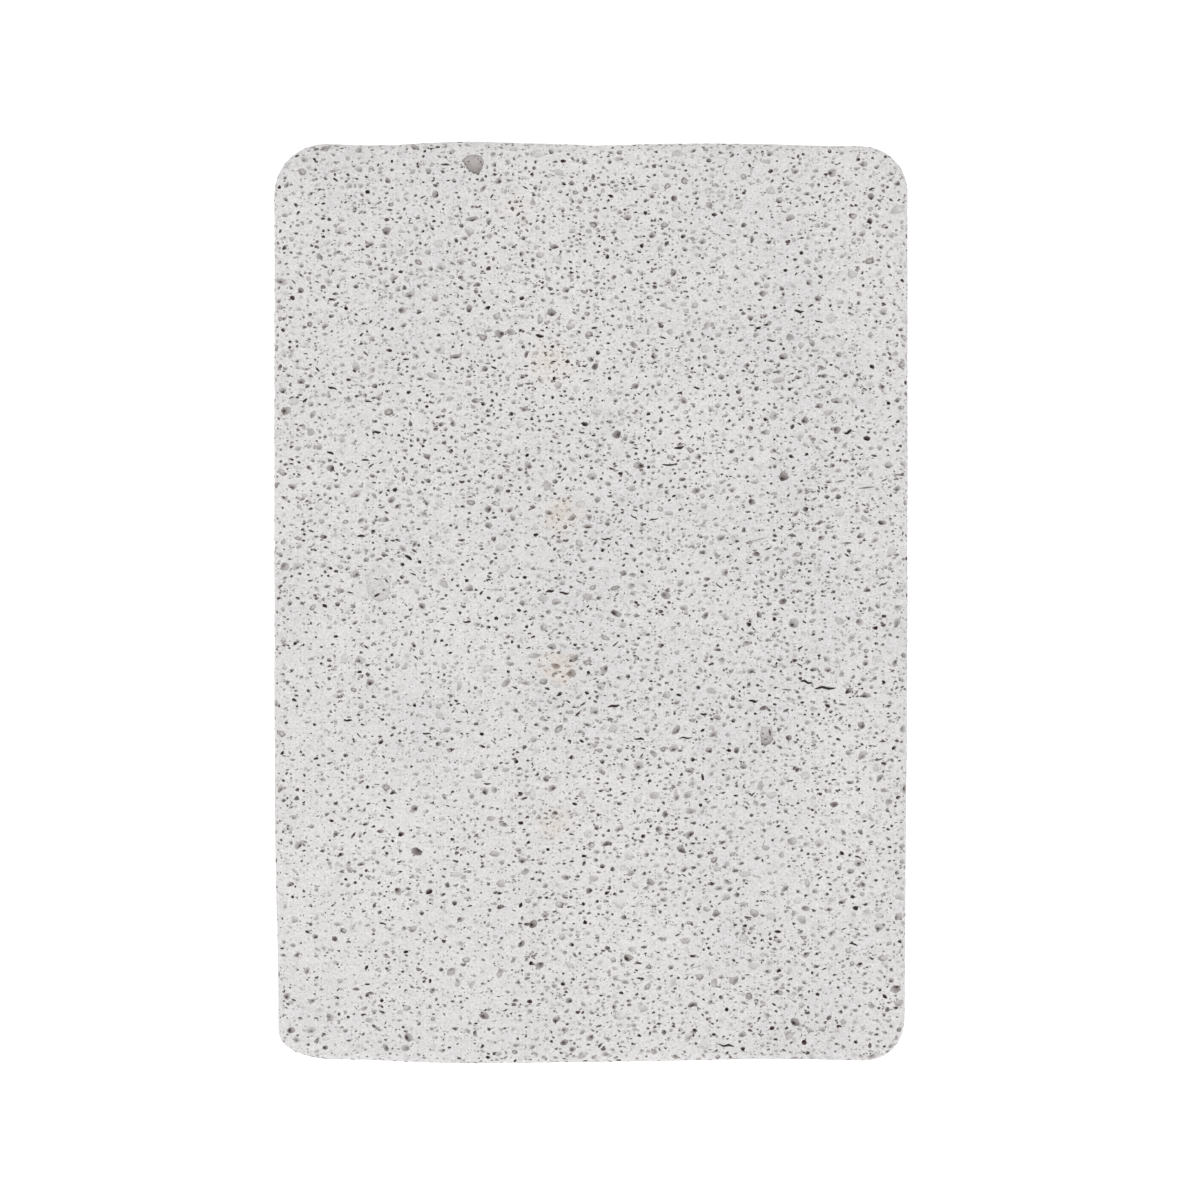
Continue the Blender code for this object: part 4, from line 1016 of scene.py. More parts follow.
SEAM_STEP = 0.6  # along the seam between the halves
SEAM_WAVES = ((23, 0.35, 0.4), (37, 0.30, 2.1), (61, 0.25, 4.4))  # number round it, height, phase
WEATHER_SIZE = 7.0  # of a worn patch
WEATHER_DEPTH = 0.05
CHART_TOLERANCE = 1e-6  # points closer than this count as one
CHART_MARGIN = 2.0  # round each half on the texture map


def seam_wander(share: float) -> float:
    """Return how far the seam strays from mid height, at a share of the way round."""
    return sum(height * math.sin(math.tau * count * share + phase) for count, height, phase in SEAM_WAVES)


def weathering(place: Vector) -> float:
    """Return how deep the surface is worn at a place, a few hundredths of a millimetre at most."""
    return WEATHER_DEPTH * (0.5 + 0.5 * noise.noise(place / WEATHER_SIZE))


@dataclass
class SkinMesh:
    """The points and faces of the whole skin as they are made."""

    places: list[tuple[float, float, float]] = field(default_factory=list)
    # the points' places on their half's chart
    charts: list[tuple[float, float]] = field(default_factory=list)
    faces: list[tuple[int, int, int]] = field(default_factory=list)
    # the painted shade at each corner of each face, dark in the pores
    shades: list[tuple[float, float, float]] = field(default_factory=list)
    rims: list[tuple[int, int]] = field(default_factory=list)  # the crisp edges round pores

    def add(self, place: Vector, chart: tuple[float, float]) -> int:
        """Add a point.

        Args:
            place: Where it is.
            chart: Where it is on its half's chart.

        Returns:
            The point's number.
        """
        self.places.append((place.x, place.y, place.z))
        self.charts.append(chart)
        return len(self.places) - 1


@dataclass(frozen=True)
class Laid:
    """A point laid on the skin."""

    place: Vector
    chart: tuple[float, float]
    out: Vector  # the way out of the stone


@dataclass
class HalfSkin:
    """A face with its rounded edge and the half of the sides that it meets."""

    form: SlabForm
    rim: Rim
    plan: HalfPlan
    skin: SkinMesh
    habit: Habit = Habit()
    openness: Openness = Openness()
    style: CutStyle = CutStyle()
    net: FillNet = FillNet()

    def __post_init__(self) -> None:
        """Start with no pores."""
        self.rng = random.Random(self.plan.seed)
        self.crowd = Crowd(self.rim, self.plan.dishes)
        self.arc = self.form.edge * math.pi / 2

    # -- places --

    def _at_height(self, x: float, y: float, under: float, out: Vector) -> tuple[Vector, Vector]:
        """Turn a place measured down from this half's face into one in the frame.

        Args:
            x: The place along X.
            y: The place along Y.
            under: How far it is under the face.
            out: The way out of the stone as if the face looked up.

        Returns:
            The place and the way out there.
        """
        if self.plan.upward:
            place = Vector((x, y, self.form.thickness - under))
        else:
            place = Vector((x, y, under))
            out = Vector((out.x, out.y, -out.z))
        return place - out * weathering(place), out

    def on_flat(self, x: float, y: float) -> Laid:
        """Lay a point on the flat of the face."""
        place, out = self._at_height(x, y, 0.0, Vector((0.0, 0.0, 1.0)))
        return Laid(place, (x, y), out)

    def past_rim(self, along: float, past: float) -> Laid:
        """Lay a point near the rim, on the rounded edge or on the side.

        Args:
            along: The distance along the rim.
            past: The distance past it, over the surface.

        Returns:
            The point on the skin.
        """
        x, y, out_x, out_y = self.rim.at(along)
        chart = (x + out_x * past, y + out_y * past)
        if past <= 0.0:
            return self.on_flat(*chart)
        bend = min(past / self.form.edge, math.pi / 2)
        reach = self.form.edge * math.sin(bend)
        under = self.form.edge * (1.0 - math.cos(bend)) + max(past - self.arc, 0.0)
        out = Vector((out_x * math.sin(bend), out_y * math.sin(bend), math.cos(bend)))
        place, out = self._at_height(x + out_x * reach, y + out_y * reach, under, out)
        return Laid(place, chart, out)

    def lay(self, spot: Spot, u: float, v: float) -> Laid:
        """Lay a point at an offset from a spot.

        Args:
            spot: The spot.
            u: The offset along the spot's first direction.
            v: The offset along its second.

        Returns:
            The point on the skin.
        """
        if spot.on_rim:
            return self.past_rim(spot.along + u, spot.past - v)
        return self.on_flat(spot.x + u, spot.y + v)

    def spot_on_flat(self, x: float, y: float) -> Spot:
        """Make a spot of a place of the face, tied to the rim where that is near.

        Args:
            x: The place along X.
            y: The place along Y.

        Returns:
            The spot.
        """
        along, past = self.rim.locate(x, y)
        if past < -self.habit.flat_margin:
            return Spot(x, y)
        return self.spot_past_rim(along, past)

    def spot_past_rim(self, along: float, past: float) -> Spot:
        """Make a spot of a place near the rim or past it.

        Args:
            along: The distance along the rim.
            past: The distance past it, over the surface.

        Returns:
            The spot.
        """
        x, y, out_x, out_y = self.rim.at(along)
        tilt = math.atan2(out_x, -out_y)
        return Spot(x + out_x * past, y + out_y * past, along % self.rim.length, past, True, tilt)

    def seam_past(self, along: float) -> float:
        """Measure how far past the rim the seam between the halves lies.

        Args:
            along: The distance along the rim.

        Returns:
            The distance past it, over the surface.
        """
        height = self.form.thickness / 2 + seam_wander(along / self.rim.length)
        under = self.form.thickness - height if self.plan.upward else height
        return self.arc + under - self.form.edge

    # -- sowing --

    def _mean_width(self, sowing: Sowing) -> float:
        """Draw the mean width of a pore."""
        return min(sowing.least + self.rng.expovariate(1.0 / sowing.spread), sowing.most)

    def _kind_for(self, width: float) -> PoreKind:
        """Draw a kind of pore.

        Args:
            width: The pore's mean width.

        Returns:
            A kind that is sown at that width.
        """
        for mix in KIND_MIXES:
            if width < mix.below:
                return self.rng.choices(list(mix.shares), list(mix.shares.values()))[0]
        return PoreKind.BOWL

    def _random_pore(self, spot: Spot, width: float) -> Pore:
        """Make a pore that lies with the rock's grain.

        Args:
            spot: Its place.
            width: Its mean width.

        Returns:
            The pore.
        """
        habit = self.habit
        stretch = max(1.0, self.rng.gauss(*habit.stretch))
        turn = flow_turn(spot.x, spot.y) - spot.tilt + math.radians(self.rng.gauss(0.0, habit.swing))
        if spot.past > self.arc / 2:
            stretch = 1.0 + (stretch - 1.0) * math.cos(spot.tilt) ** 2
            turn = math.radians(self.rng.gauss(0.0, habit.wall_swing))
        kind = self._kind_for(width)
        if kind is PoreKind.STROKE and not spot.on_rim:
            stretch *= self.rng.uniform(*habit.stroke)
        root = math.sqrt(stretch)
        tones = habit.deep_tones if kind.mouth_shade > habit.deep_from else habit.tones
        return Pore(spot, width * root, width / root, turn, kind, self.rng.uniform(*tones))

    def _sow(self, sowing: Sowing, area: float, draw_spot: Callable[[], Spot]) -> None:
        """Sow pores on a stretch of skin, the widest first.

        Args:
            sowing: How densely.
            area: The stretch's area.
            draw_spot: Draws a random spot of the stretch.
        """
        count = round(sowing.density * area)
        for width in sorted((self._mean_width(sowing) for _ in range(count)), reverse=True):
            for _ in range(self.habit.tries):
                pore = self._random_pore(draw_spot(), width)
                if self._fits(pore):
                    self.crowd.add(pore)
                    break

    def _fits(self, pore: Pore) -> bool:
        """Tell whether a pore keeps off the others and off the seam.

        Args:
            pore: The pore.

        Returns:
            True if it does.
        """
        spot = pore.spot
        if spot.on_rim:
            half = pore.wide / 2
            room = min(self.seam_past(spot.along + step) for step in (-half, 0.0, half)) - spot.past
            if room < half * MOUTH_SLACK + self.habit.seam_margin:
                return False
        return self.crowd.has_room(pore, self.habit.wall)

    def _draw_flat(self) -> Spot:
        """Draw a spot of the flat, away from the rim and rarer where the rock is denser.

        Returns:
            The spot.
        """
        while True:
            x = self.rng.uniform(-self.form.width / 2, self.form.width / 2)
            y = self.rng.uniform(-self.form.length / 2, self.form.length / 2)
            if self.rng.random() > self.openness.at(x, y, self.plan.upward):
                continue
            spot = self.spot_on_flat(x, y)
            if not spot.on_rim:
                return spot

    def _draw_edge(self) -> Spot:
        """Draw a spot along the rim and over the rounded edge.

        Returns:
            The spot.
        """
        while True:
            past = self.rng.uniform(-self.habit.flat_margin, self.arc)
            spot = self.spot_past_rim(self.rng.uniform(0.0, self.rim.length), past)
            if self.rng.random() < self.openness.at(spot.x, spot.y, self.plan.upward):
                return spot

    def _draw_wall(self) -> Spot:
        """Draw a spot of the side, down to the seam."""
        along = self.rng.uniform(0.0, self.rim.length)
        return self.spot_past_rim(along, self.rng.uniform(self.arc, self.seam_past(along)))

    def sow(self) -> None:
        """Place every pore of the half."""
        for mark in self.plan.marks:
            spot = self.spot_on_flat(mark.x, mark.y)
            pore = Pore(spot, mark.wide, mark.high, math.radians(mark.turn) - spot.tilt, mark.kind)
            if self._fits(pore):
                self.crowd.add(pore)
            else:
                LOG.warning("no room for the mark at %.1f, %.1f", mark.x, mark.y)
        form, around, margin = self.form, self.rim.length, self.habit.flat_margin
        flat_area = form.width * form.length - around * (form.edge + margin)
        self._sow(self.plan.flat, flat_area, self._draw_flat)
        self._sow(self.plan.edge, around * (margin + self.arc), self._draw_edge)
        self._sow(self.plan.wall, around * (form.thickness / 2 - form.edge), self._draw_wall)

    # -- cutting --

    def _mouth(self, pore: Pore) -> list[tuple[float, float]]:
        """Draw a pore's uneven mouth.

        Args:
            pore: The pore.

        Returns:
            The mouth's points in the spot's own directions, anticlockwise seen from outside.
        """
        count = pore.points
        waves = [(order, self.rng.uniform(0.0, size), self.rng.uniform(0.0, math.tau))
                 for order, size in self.style.waves]
        start = self.rng.uniform(0.0, math.tau)
        cosine, sine = math.cos(pore.turn), math.sin(pore.turn)
        mouth = []
        for index in range(count):
            stray = self.rng.uniform(-self.style.jitter, self.style.jitter)
            angle = start + math.tau * (index + stray) / count
            size = 1.0 + sum(height * math.cos(order * angle + phase) for order, height, phase in waves)
            size = min(size, MOUTH_SLACK)
            u = pore.wide / 2 * size * math.cos(angle)
            v = pore.high / 2 * size * math.sin(angle)
            mouth.append((u * cosine - v * sine, u * sine + v * cosine))
        return mouth

    def _slit_rings(self, pore: Pore) -> list[list[tuple[float, float]]]:
        """Draw the mouth and the foot of a slit that winds a little.

        Args:
            pore: The slit.

        Returns:
            The mouth's points and the foot's, in the spot's own directions.
        """
        phase = self.rng.uniform(0.0, math.tau)
        widths = [self.rng.uniform(*self.style.slit_widths) for _ in range(SLIT_POINTS)]
        cosine, sine = math.cos(pore.turn), math.sin(pore.turn)
        rings = []
        for length, opening in ((1.0, 1.0), (pore.kind.steps[0].size, self.style.slit_foot)):
            ring = []
            for index, width in enumerate(widths):
                angle = math.tau * index / SLIT_POINTS
                along = length * math.cos(angle)
                u = pore.wide / 2 * along
                v = opening * width * pore.high / 2 * math.sin(angle)
                v += SLIT_BEND * pore.wide * math.sin(phase + self.style.slit_wind * along)
                ring.append((u * cosine - v * sine, u * sine + v * cosine))
            rings.append(ring)
        return rings

    def _cut_slit(self, pore: Pore) -> list[int]:
        """Cut a slit into the skin.

        Args:
            pore: The slit.

        Returns:
            The numbers of the points round its mouth.
        """
        step = pore.kind.steps[0]
        deep = self.lay(pore.spot, 0.0, 0.0).out * pore.high * step.depth
        mouth, foot = self._slit_rings(pore)
        upper = [self._add_under(pore.spot, u, v, Vector()) for u, v in mouth]
        lower = [self._add_under(pore.spot, u, v, deep) for u, v in foot]
        bottom = step.shade * pore.tone
        self._join(upper, lower, [pore.kind.mouth_shade * pore.tone] * len(upper), [bottom] * len(lower))
        last = len(lower) - 1
        shades = (bottom,) * 3
        self._face((lower[0], lower[1], lower[last]), shades)
        for index in range(1, len(lower) // 2 - 1):
            self._face((lower[index], lower[index + 1], lower[last - index]), shades)
            self._face((lower[index], lower[last - index], lower[last - index + 1]), shades)
        middle = len(lower) // 2
        self._face((lower[middle - 1], lower[middle], lower[middle + 1]), shades)
        self.skin.rims.extend(zip(upper, upper[1:] + upper[:1]))
        return upper

    def _cut(self, pore: Pore) -> list[int]:
        """Cut a pore into the skin.

        Args:
            pore: The pore.

        Returns:
            The numbers of the points round its mouth.
        """
        if pore.kind is PoreKind.SLIT:
            return self._cut_slit(pore)
        style = self.style
        middle = self.lay(pore.spot, 0.0, 0.0)
        sink = middle.out * pore.sink
        mouth = self._mouth(pore)
        deepen = pore.high * self.rng.uniform(*style.depths)
        if pore.spot.on_rim and pore.spot.past < style.edge_reach:
            deepen = min(deepen, style.edge_depth / pore.kind.steps[-1].depth)
        # painted shade: each pore is darker towards one side, mostly the near side, where its near rim would
        # shadow it from the lamp
        heel_u, heel_v = self._downhill(pore.spot, math.radians(self.rng.gauss(0.0, style.swing)))
        lean = self.rng.uniform(*style.shade_leans) / (pore.wide / 2)
        leaning = [1.0 + lean * (u * heel_u + v * heel_v) for u, v in mouth]
        first = ring = [self._add_under(pore.spot, u, v, sink) for u, v in mouth]
        shadow_crescent = style.shadow_crescent if pore.kind.crisp else 0.0
        shades = [pore.tone * (pore.kind.mouth_shade * share + shadow_crescent * max(0.0, share - 1.0))
                  for share in leaning]
        for step in pore.kind.steps:
            shift = step.drop * pore.high / 2
            in_stone = middle.out * step.depth * deepen + sink
            points = [(u * step.size, v * step.size) for u, v in mouth] if step.size else [(0.0, 0.0)]
            lower = [self._add_under(pore.spot, u + shift * heel_u, v + shift * heel_v, in_stone)
                     for u, v in points]
            deeper = [step.shade * pore.tone * share for share in (leaning if step.size else (1.0,))]
            self._join(ring, lower, shades, deeper)
            ring, shades = lower, deeper
        if pore.kind.crisp:
            self.skin.rims.extend(zip(first, first[1:] + first[:1]))
        return first

    def _add_under(self, spot: Spot, u: float, v: float, in_stone: Vector) -> int:
        """Add a point under an offset from a spot, and return its number."""
        laid = self.lay(spot, u, v)
        return self.skin.add(laid.place - in_stone, laid.chart)

    def _downhill(self, spot: Spot, swing: float) -> tuple[float, float]:
        """Find the way towards the near side of the stone, in a spot's own directions.

        Args:
            spot: The spot.
            swing: How far to swing to the right of it, in radians.

        Returns:
            The way along each of the spot's directions.
        """
        turn = swing - math.pi / 2 - (0.0 if spot.past > self.arc else spot.tilt)
        return math.cos(turn), math.sin(turn)

    def _join(self, upper: list[int], lower: list[int], shades: list[float], deeper: list[float]) -> None:
        """Join two rings of points with triangles, or a ring with the point under it.

        Args:
            upper: The ring nearer the surface.
            lower: The ring or the point under it.
            shades: The painted shade at each point of the upper ring.
            deeper: The painted shade at each point of the lower one.
        """
        for index in range(len(upper)):
            after = (index + 1) % len(upper)
            a, b = upper[index], upper[after]
            if len(lower) == 1:
                self._face((a, b, lower[0]), (shades[index], shades[after], deeper[0]))
            else:
                c, d = lower[after], lower[index]
                self._face((a, b, c), (shades[index], shades[after], deeper[after]))
                self._face((a, c, d), (shades[index], deeper[after], deeper[index]))

    def _face(self, corners: tuple[int, int, int], shades: tuple[float, float, float]) -> None:
        """Add a triangle.

        Args:
            corners: Its points' numbers, anticlockwise on the chart.
            shades: The painted shade at each.
        """
        order = (0, 1, 2) if self.plan.upward else (0, 2, 1)
        self.skin.faces.append(tuple(corners[index] for index in order))
        self.skin.shades.append(tuple(shades[index] for index in order))

    # -- the surface between the pores --

    def _fill_spots(self) -> Iterator[Spot]:
        """Go through the spots of the net, row by row.

        Yields:
            A spot.
        """
        net = self.net
        half_x, half_y = self.form.width / 2, self.form.length / 2
        for row in range(int(self.form.length / net.flat_step)):
            for column in range(int(self.form.width / net.flat_step)):
                x = (column + self.rng.uniform(*net.flat_sway)) * net.flat_step - half_x
                y = (row + self.rng.uniform(*net.flat_sway)) * net.flat_step - half_y
                _, past = self.rim.locate(x, y)
                if past < -net.rim_gap:
                    yield Spot(x, y)
        rows = [(share * self.arc, net.edge_step) for share in net.edge_rows]
        rows += [(self.arc + (row + 1) * net.wall_step, net.wall_step)
                 for row in range(int(net.wall_reach / net.wall_step))]
        for past, step in rows:
            places = self.rim.paces(step)
            for along, after in zip(places, [*places[1:], self.rim.length]):
                along += (after - along) * self.rng.uniform(*net.row_sway)
                yield self.spot_past_rim(along, past + self.rng.uniform(-net.row_drift, net.row_drift))

    def _fill(self) -> list[int]:
        """Add the net's points that keep off the pores and the seam.

        Returns:
            The points' numbers.
        """
        numbers = []
        for spot in self._fill_spots():
            dot = Pore(spot, self.net.dot, self.net.dot, 0.0, PoreKind.SPECK)
            if spot.on_rim and self.seam_past(spot.along) - spot.past < self.net.seam_gap:
                continue
            if self.crowd.has_room(dot, self.net.pore_gap):
                laid = self.lay(spot, 0.0, 0.0)
                numbers.append(self.skin.add(laid.place, laid.chart))
        return numbers

    def _sink_dish(self, dish: Dish) -> tuple[list[int], list[int], list[list[int]]]:
        """Sink a dish into the face.

        Args:
            dish: The large pore.

        Returns:
            The points of its rim, those round its floor, and those round each pore in its floor.
        """
        down = self.on_flat(dish.x, dish.y).out
        rim = [self._add_under(Spot(x, y), 0.0, 0.0, Vector()) for x, y in dish.ring(1.0)]
        floor = [self._add_under(Spot(x, y), 0.0, 0.0, down * dish.sink(y)) for x, y in dish.ring(dish.floor)]
        self.skin.rims.extend(zip(rim, rim[1:] + rim[:1]))
        mouths = []
        for mark in dish.marks:
            x, y = dish.x + mark.x, dish.y + mark.y
            turn = math.radians(mark.turn)
            pore = Pore(Spot(x, y), mark.wide, mark.high, turn, mark.kind, sink=dish.sink(y))
            mouths.append(self._cut(pore))
        return rim, floor, mouths

    def build(self, seam: list[int]) -> None:
        """Cut the pores and close the surface between them.

        Args:
            seam: The points of the seam between the halves, anticlockwise from above.
        """
        for number, along in zip(seam, self.rim.paces(SEAM_STEP)):
            self.skin.charts[number] = self.past_rim(along, self.seam_past(along)).chart
        loops = [seam]
        tones: list[Callable[[float], float] | None] = [lambda _: 0.0]
        for dish in self.plan.dishes:
            rim, floor, inner = self._sink_dish(dish)
            loops += [rim, floor, *inner]
            tones += [dish.tone, dish.tone] + [None] * len(inner)
        for pore in self.crowd.pores:
            loops.append(self._cut(pore))
            tones.append(None)
        self._close(loops, tones)
        LOG.info("%s half: %d pores", "upper" if self.plan.upward else "lower", len(self.crowd.pores))

    def _close(self, loops: list[list[int]], tones: list[Callable[[float], float] | None]) -> None:
        """Close the surface between loops of points.

        Args:
            loops: The loops, outer ones before those inside them.
            tones: For each loop, the painted shade of the surface inside it at a y, or None if it stays open.
        """
        numbers = [number for loop in loops for number in loop] + self._fill()
        order = {number: index for index, number in enumerate(numbers)}
        points = [Vector(self.skin.charts[number]) for number in numbers]
        rings = [[order[number] for number in loop] for loop in loops]
        made = delaunay_2d_cdt(points, [], rings, 0, CHART_TOLERANCE, True)
        sources, triangles, inside = made[3], made[2], made[5]
        crossings = [tuple(place) for place, source in zip(made[0], sources) if not source]
        if crossings or len(made[0]) != len(points):
            raise ValueError(f"pores cross or meet on the chart: {crossings}")
        for corners, rings_round in zip(triangles, inside):
            tone = tones[max(rings_round)] if rings_round else None
            if tone:
                found = tuple(numbers[sources[corner][0]] for corner in corners)
                self._face(found, tuple(tone(self.skin.charts[number][1]) for number in found))


# the painted shade of the pores, kept per face corner and read by the finish
PORE_SHADE = "pore_shade"


@dataclass
class PumiceStone:
    """The stone itself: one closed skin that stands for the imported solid."""

    form: SlabForm = field(default_factory=SlabForm.packed)
    face: HalfPlan = HalfPlan(
        True, 11, Sowing(0.94, 0.31, 0.125, 0.88), Sowing(1.05, 0.31), Sowing(0.52, 0.36),
        FACE_MARKS, FACE_DISHES,
    )
    back: HalfPlan = HalfPlan(False, 23, Sowing(0.46, 0.38), Sowing(0.56, 0.36), Sowing(0.52, 0.36))

    def __post_init__(self) -> None:
        """Lay out the rim and start the skin."""
        self.rim = Rim(self.form)
        self.skin = SkinMesh()

    def _seam(self, upper: HalfSkin) -> list[int]:
        """Add the points of the seam between the halves.

        Args:
            upper: The upper half.

        Returns:
            The points' numbers.
        """
        numbers = []
        for along in self.rim.paces(SEAM_STEP):
            laid = upper.past_rim(along, upper.seam_past(along))
            numbers.append(self.skin.add(laid.place, laid.chart))
        return numbers

    def build(self, finish: bpy.types.Material) -> bpy.types.Object:
        """Build the stone.

        Args:
            finish: The rock's material.

        Returns:
            The stone's object.
        """
        upper = HalfSkin(self.form, self.rim, self.face, self.skin)
        lower = HalfSkin(self.form, self.rim, self.back, self.skin)
        seam = self._seam(upper)
        upper.sow()
        upper.build(seam)
        face_count = len(self.skin.faces)
        lower.sow()
        lower.build(seam)
        mesh = bpy.data.meshes.new("pumice_skin")
        mesh.from_pydata((np.array(self.skin.places) * MM).tolist(), [], self.skin.faces)
        self._mark_rims(mesh)
        self._store_shades(mesh)
        self._store_charts(mesh, face_count)
        mesh.materials.append(finish)
        piece = bpy.data.objects.new("pumice_stone_skin", mesh)
        bpy.context.scene.collection.objects.link(piece)
        return piece

    def _mark_rims(self, mesh: bpy.types.Mesh) -> None:
        """Shade the skin smooth, with a crisp edge round the mouths listed as crisp.

        Args:
            mesh: The skin.
        """
        mesh.shade_smooth()
        ends = np.empty(len(mesh.edges) * 2, np.int32)
        mesh.edges.foreach_get("vertices", ends)
        ends = np.sort(ends.reshape(-1, 2), axis=1).astype(np.int64)
        rims = np.sort(np.array(self.skin.rims), axis=1).astype(np.int64)
        size = len(mesh.vertices)
        sharp = np.isin(ends[:, 0] * size + ends[:, 1], rims[:, 0] * size + rims[:, 1])
        layer = mesh.attributes.new("sharp_edge", "BOOLEAN", "EDGE")
        layer.data.foreach_set("value", sharp)

    def _store_shades(self, mesh: bpy.types.Mesh) -> None:
        """Keep the painted shade at each corner of its faces, for its finish."""
        layer = mesh.attributes.new(PORE_SHADE, "FLOAT", "CORNER")
        layer.data.foreach_set("value", np.clip(np.array(self.skin.shades, np.float32), 0.0, 1.0).ravel())

    def _store_charts(self, mesh: bpy.types.Mesh, face_count: int) -> None:
        """Lay both halves' charts side by side as the skin's texture map.

        Args:
            mesh: The skin.
            face_count: How many of its triangles belong to the upper half.
        """
        charts = np.array(self.skin.charts, np.float32)
        corners = np.array(self.skin.faces, np.int32).ravel()
        spread = self.form.thickness + CHART_MARGIN
        cell = np.array((self.form.width, self.form.length)) + 2 * spread
        place = charts[corners] + cell / 2
        place[face_count * 3:, 0] += cell[0]
        layer = mesh.uv_layers.new(name="OFBake")
        layer.uv.foreach_set("vector", (place / (cell[0] * 2)).astype(np.float32).ravel())


# ---- Finishes ----

Colour = tuple[float, float, float]
Value = "Signal | float | int | tuple"


class Graph:
    """A material's nodes, added one at a time."""

    def __init__(self, name: str) -> None:
        """Start a material with a Principled shader.

        Args:
            name: The material's name.
        """
        self.material = bpy.data.materials.new(name)
        self.material.use_nodes = True
        self.tree = self.material.node_tree
        self.shader = self.tree.nodes["Principled BSDF"]

    def node(self, kind: str, settings: dict | None = None, sockets: dict | None = None,
             output: int | str = 0) -> Signal:
        """Add a node.

        Args:
            kind: The node's type.
            settings: Its properties, set before its sockets.
            sockets: Values or signals for its inputs, by name or number.
            output: The output to hand on, by name or number.

        Returns:
            The signal of that output.
        """
        node = self.tree.nodes.new(kind)
        for name, value in (settings or {}).items():
            setattr(node, name, value)
        for name, value in (sockets or {}).items():
            self.feed(node.inputs[name], value)
        return Signal(self, node.outputs[output])

    def feed(self, socket: bpy.types.NodeSocket, value: Value) -> None:
        """Link a signal to an input, or set the input's value.

        Args:
            socket: The input.
            value: The signal, number, vector or colour.
        """
        if isinstance(value, Signal):
            self.tree.links.new(value.socket, socket)
        elif isinstance(value, tuple) and socket.type == "RGBA":
            socket.default_value = (*value, 1.0)
        else:
            socket.default_value = value

    def dress(self, **inputs: Value) -> bpy.types.Material:
        """Feed the shader.

        Args:
            **inputs: Signals or values for its inputs, by name with underscores for spaces.

        Returns:
            The material.
        """
        for name, value in inputs.items():
            self.feed(self.shader.inputs[name.replace("_", " ")], value)
        return self.material

    def mix(self, share: Value, first: Value, second: Value) -> Signal:
        """Mix two colours by a share of the second."""
        return self.mix_by("MIX", share, first, second)

    def mix_by(self, blend: str, share: Value, first: Value, second: Value) -> Signal:
        """Blend a second colour into a first by a blend type and a share."""
        settings = {"data_type": "RGBA", "blend_type": blend}
        return self.node("ShaderNodeMix", settings, {0: share, 6: first, 7: second}, 2)

    def vector(self, operation: str, first: Value, second: Value, output: int | str = 0) -> Signal:
        """Add a Vector Math node of two values."""
        return self.node("ShaderNodeVectorMath", {"operation": operation}, {0: first, 1: second}, output)

    def noise(self, place: Signal, scale: float, detail: float, output: int | str = 0) -> Signal:
        """Add noise over a position, of a scale per metre."""
        sockets = {"Vector": place, "Scale": scale, "Detail": detail}
        return self.node("ShaderNodeTexNoise", None, sockets, output)


class Signal:
    """A node's output, which takes part in sums as a number does."""

    def __init__(self, graph: Graph, socket: bpy.types.NodeSocket) -> None:
        """Wrap an output.

        Args:
            graph: The graph that it belongs to.
            socket: The output.
        """
        self.graph = graph
        self.socket = socket

    def beside(self, output: str) -> Signal:
        """Return another output of the same node."""
        return Signal(self.graph, self.socket.node.outputs[output])

    def _math(self, operation: str, first: Value, second: Value) -> Signal:
        """Add a Math node of two values."""
        return self.graph.node("ShaderNodeMath", {"operation": operation}, {0: first, 1: second})

    def __add__(self, other: Value) -> Signal:
        """Add."""
        return self._math("ADD", self, other)

    __radd__ = __add__

    def __sub__(self, other: Value) -> Signal:
        """Take a value from this one."""
        return self._math("SUBTRACT", self, other)

    def __rsub__(self, other: Value) -> Signal:
        """Take this from a value."""
        return self._math("SUBTRACT", other, self)

    def __mul__(self, other: Value) -> Signal:
        """Multiply."""
        return self._math("MULTIPLY", self, other)

    __rmul__ = __mul__

    def __pow__(self, other: Value) -> Signal:
        """Raise this to a power."""
        return self._math("POWER", self, other)

    def __rpow__(self, other: Value) -> Signal:
        """Raise a value to the power of this."""
        return self._math("POWER", other, self)

    def ease(self, low: float, high: float, start: float = 0.0, end: float = 1.0) -> Signal:
        """Map a range of this smoothly to another.

        Args:
            low: Where this range starts.
            high: Where it ends.
            start: What the low end maps to.
            end: What the high end maps to.

        Returns:
            The mapped signal.
        """
        return self.graph.node(
            "ShaderNodeMapRange", {"interpolation_type": "SMOOTHSTEP"},
            {"Value": self, "From Min": low, "From Max": high, "To Min": start, "To Max": end},
        )


@dataclass(frozen=True)
class Grain:
    """One size of the rock's grain."""

    scale: float  # grains to the metre
    detail: float  # how many finer sizes it holds
    tone: float  # how much it lightens and darkens the rock
    relief: float = 0.0  # how much it raises and sinks it

    def over(self, place: Signal) -> Signal:
        """Spread the grain over a position, from 0 to 1."""
        return place.graph.noise(place, self.scale, self.detail)


@dataclass(frozen=True)
class FinePores:
    """Pores too fine to model, one to a cell and each of its own size, shown by painted shade and a dent."""

    scale: float  # cells to the metre
    widest: float  # the widest radius, as a share of a cell
    relief: float  # how much they sink the surface
    lip: float = 0.12  # how far in their edge fades
    palest: float = 0.2  # how dark the palest one's painted shade is, from 0 to 1

    def over(self, place: Signal) -> tuple[Signal, Signal]:
        """Scatter the pores over a position.

        Args:
            place: The position.

        Returns:
            The mask of the pores with their painted shade, and their depth.
        """
        node = place.graph.node
        sockets = {"Vector": place, "Scale": self.scale, "Randomness": 1.0}
        away = node("ShaderNodeTexVoronoi", {"feature": "F1"}, sockets, "Distance")
        size = node("ShaderNodeSeparateColor", None, {"Color": away.beside("Color")}, "Red")
        dark = size.beside("Green")
        inside = (size ** 2.0 * self.widest - away).ease(0.0, self.lip)
        return inside * (dark * (1.0 - self.palest) + self.palest), inside


@dataclass(frozen=True)
class Stain:
    """A faint stain on the face, in millimetres."""

    x: float
    y: float
    radius: float
    strength: float  # from 0 to 1


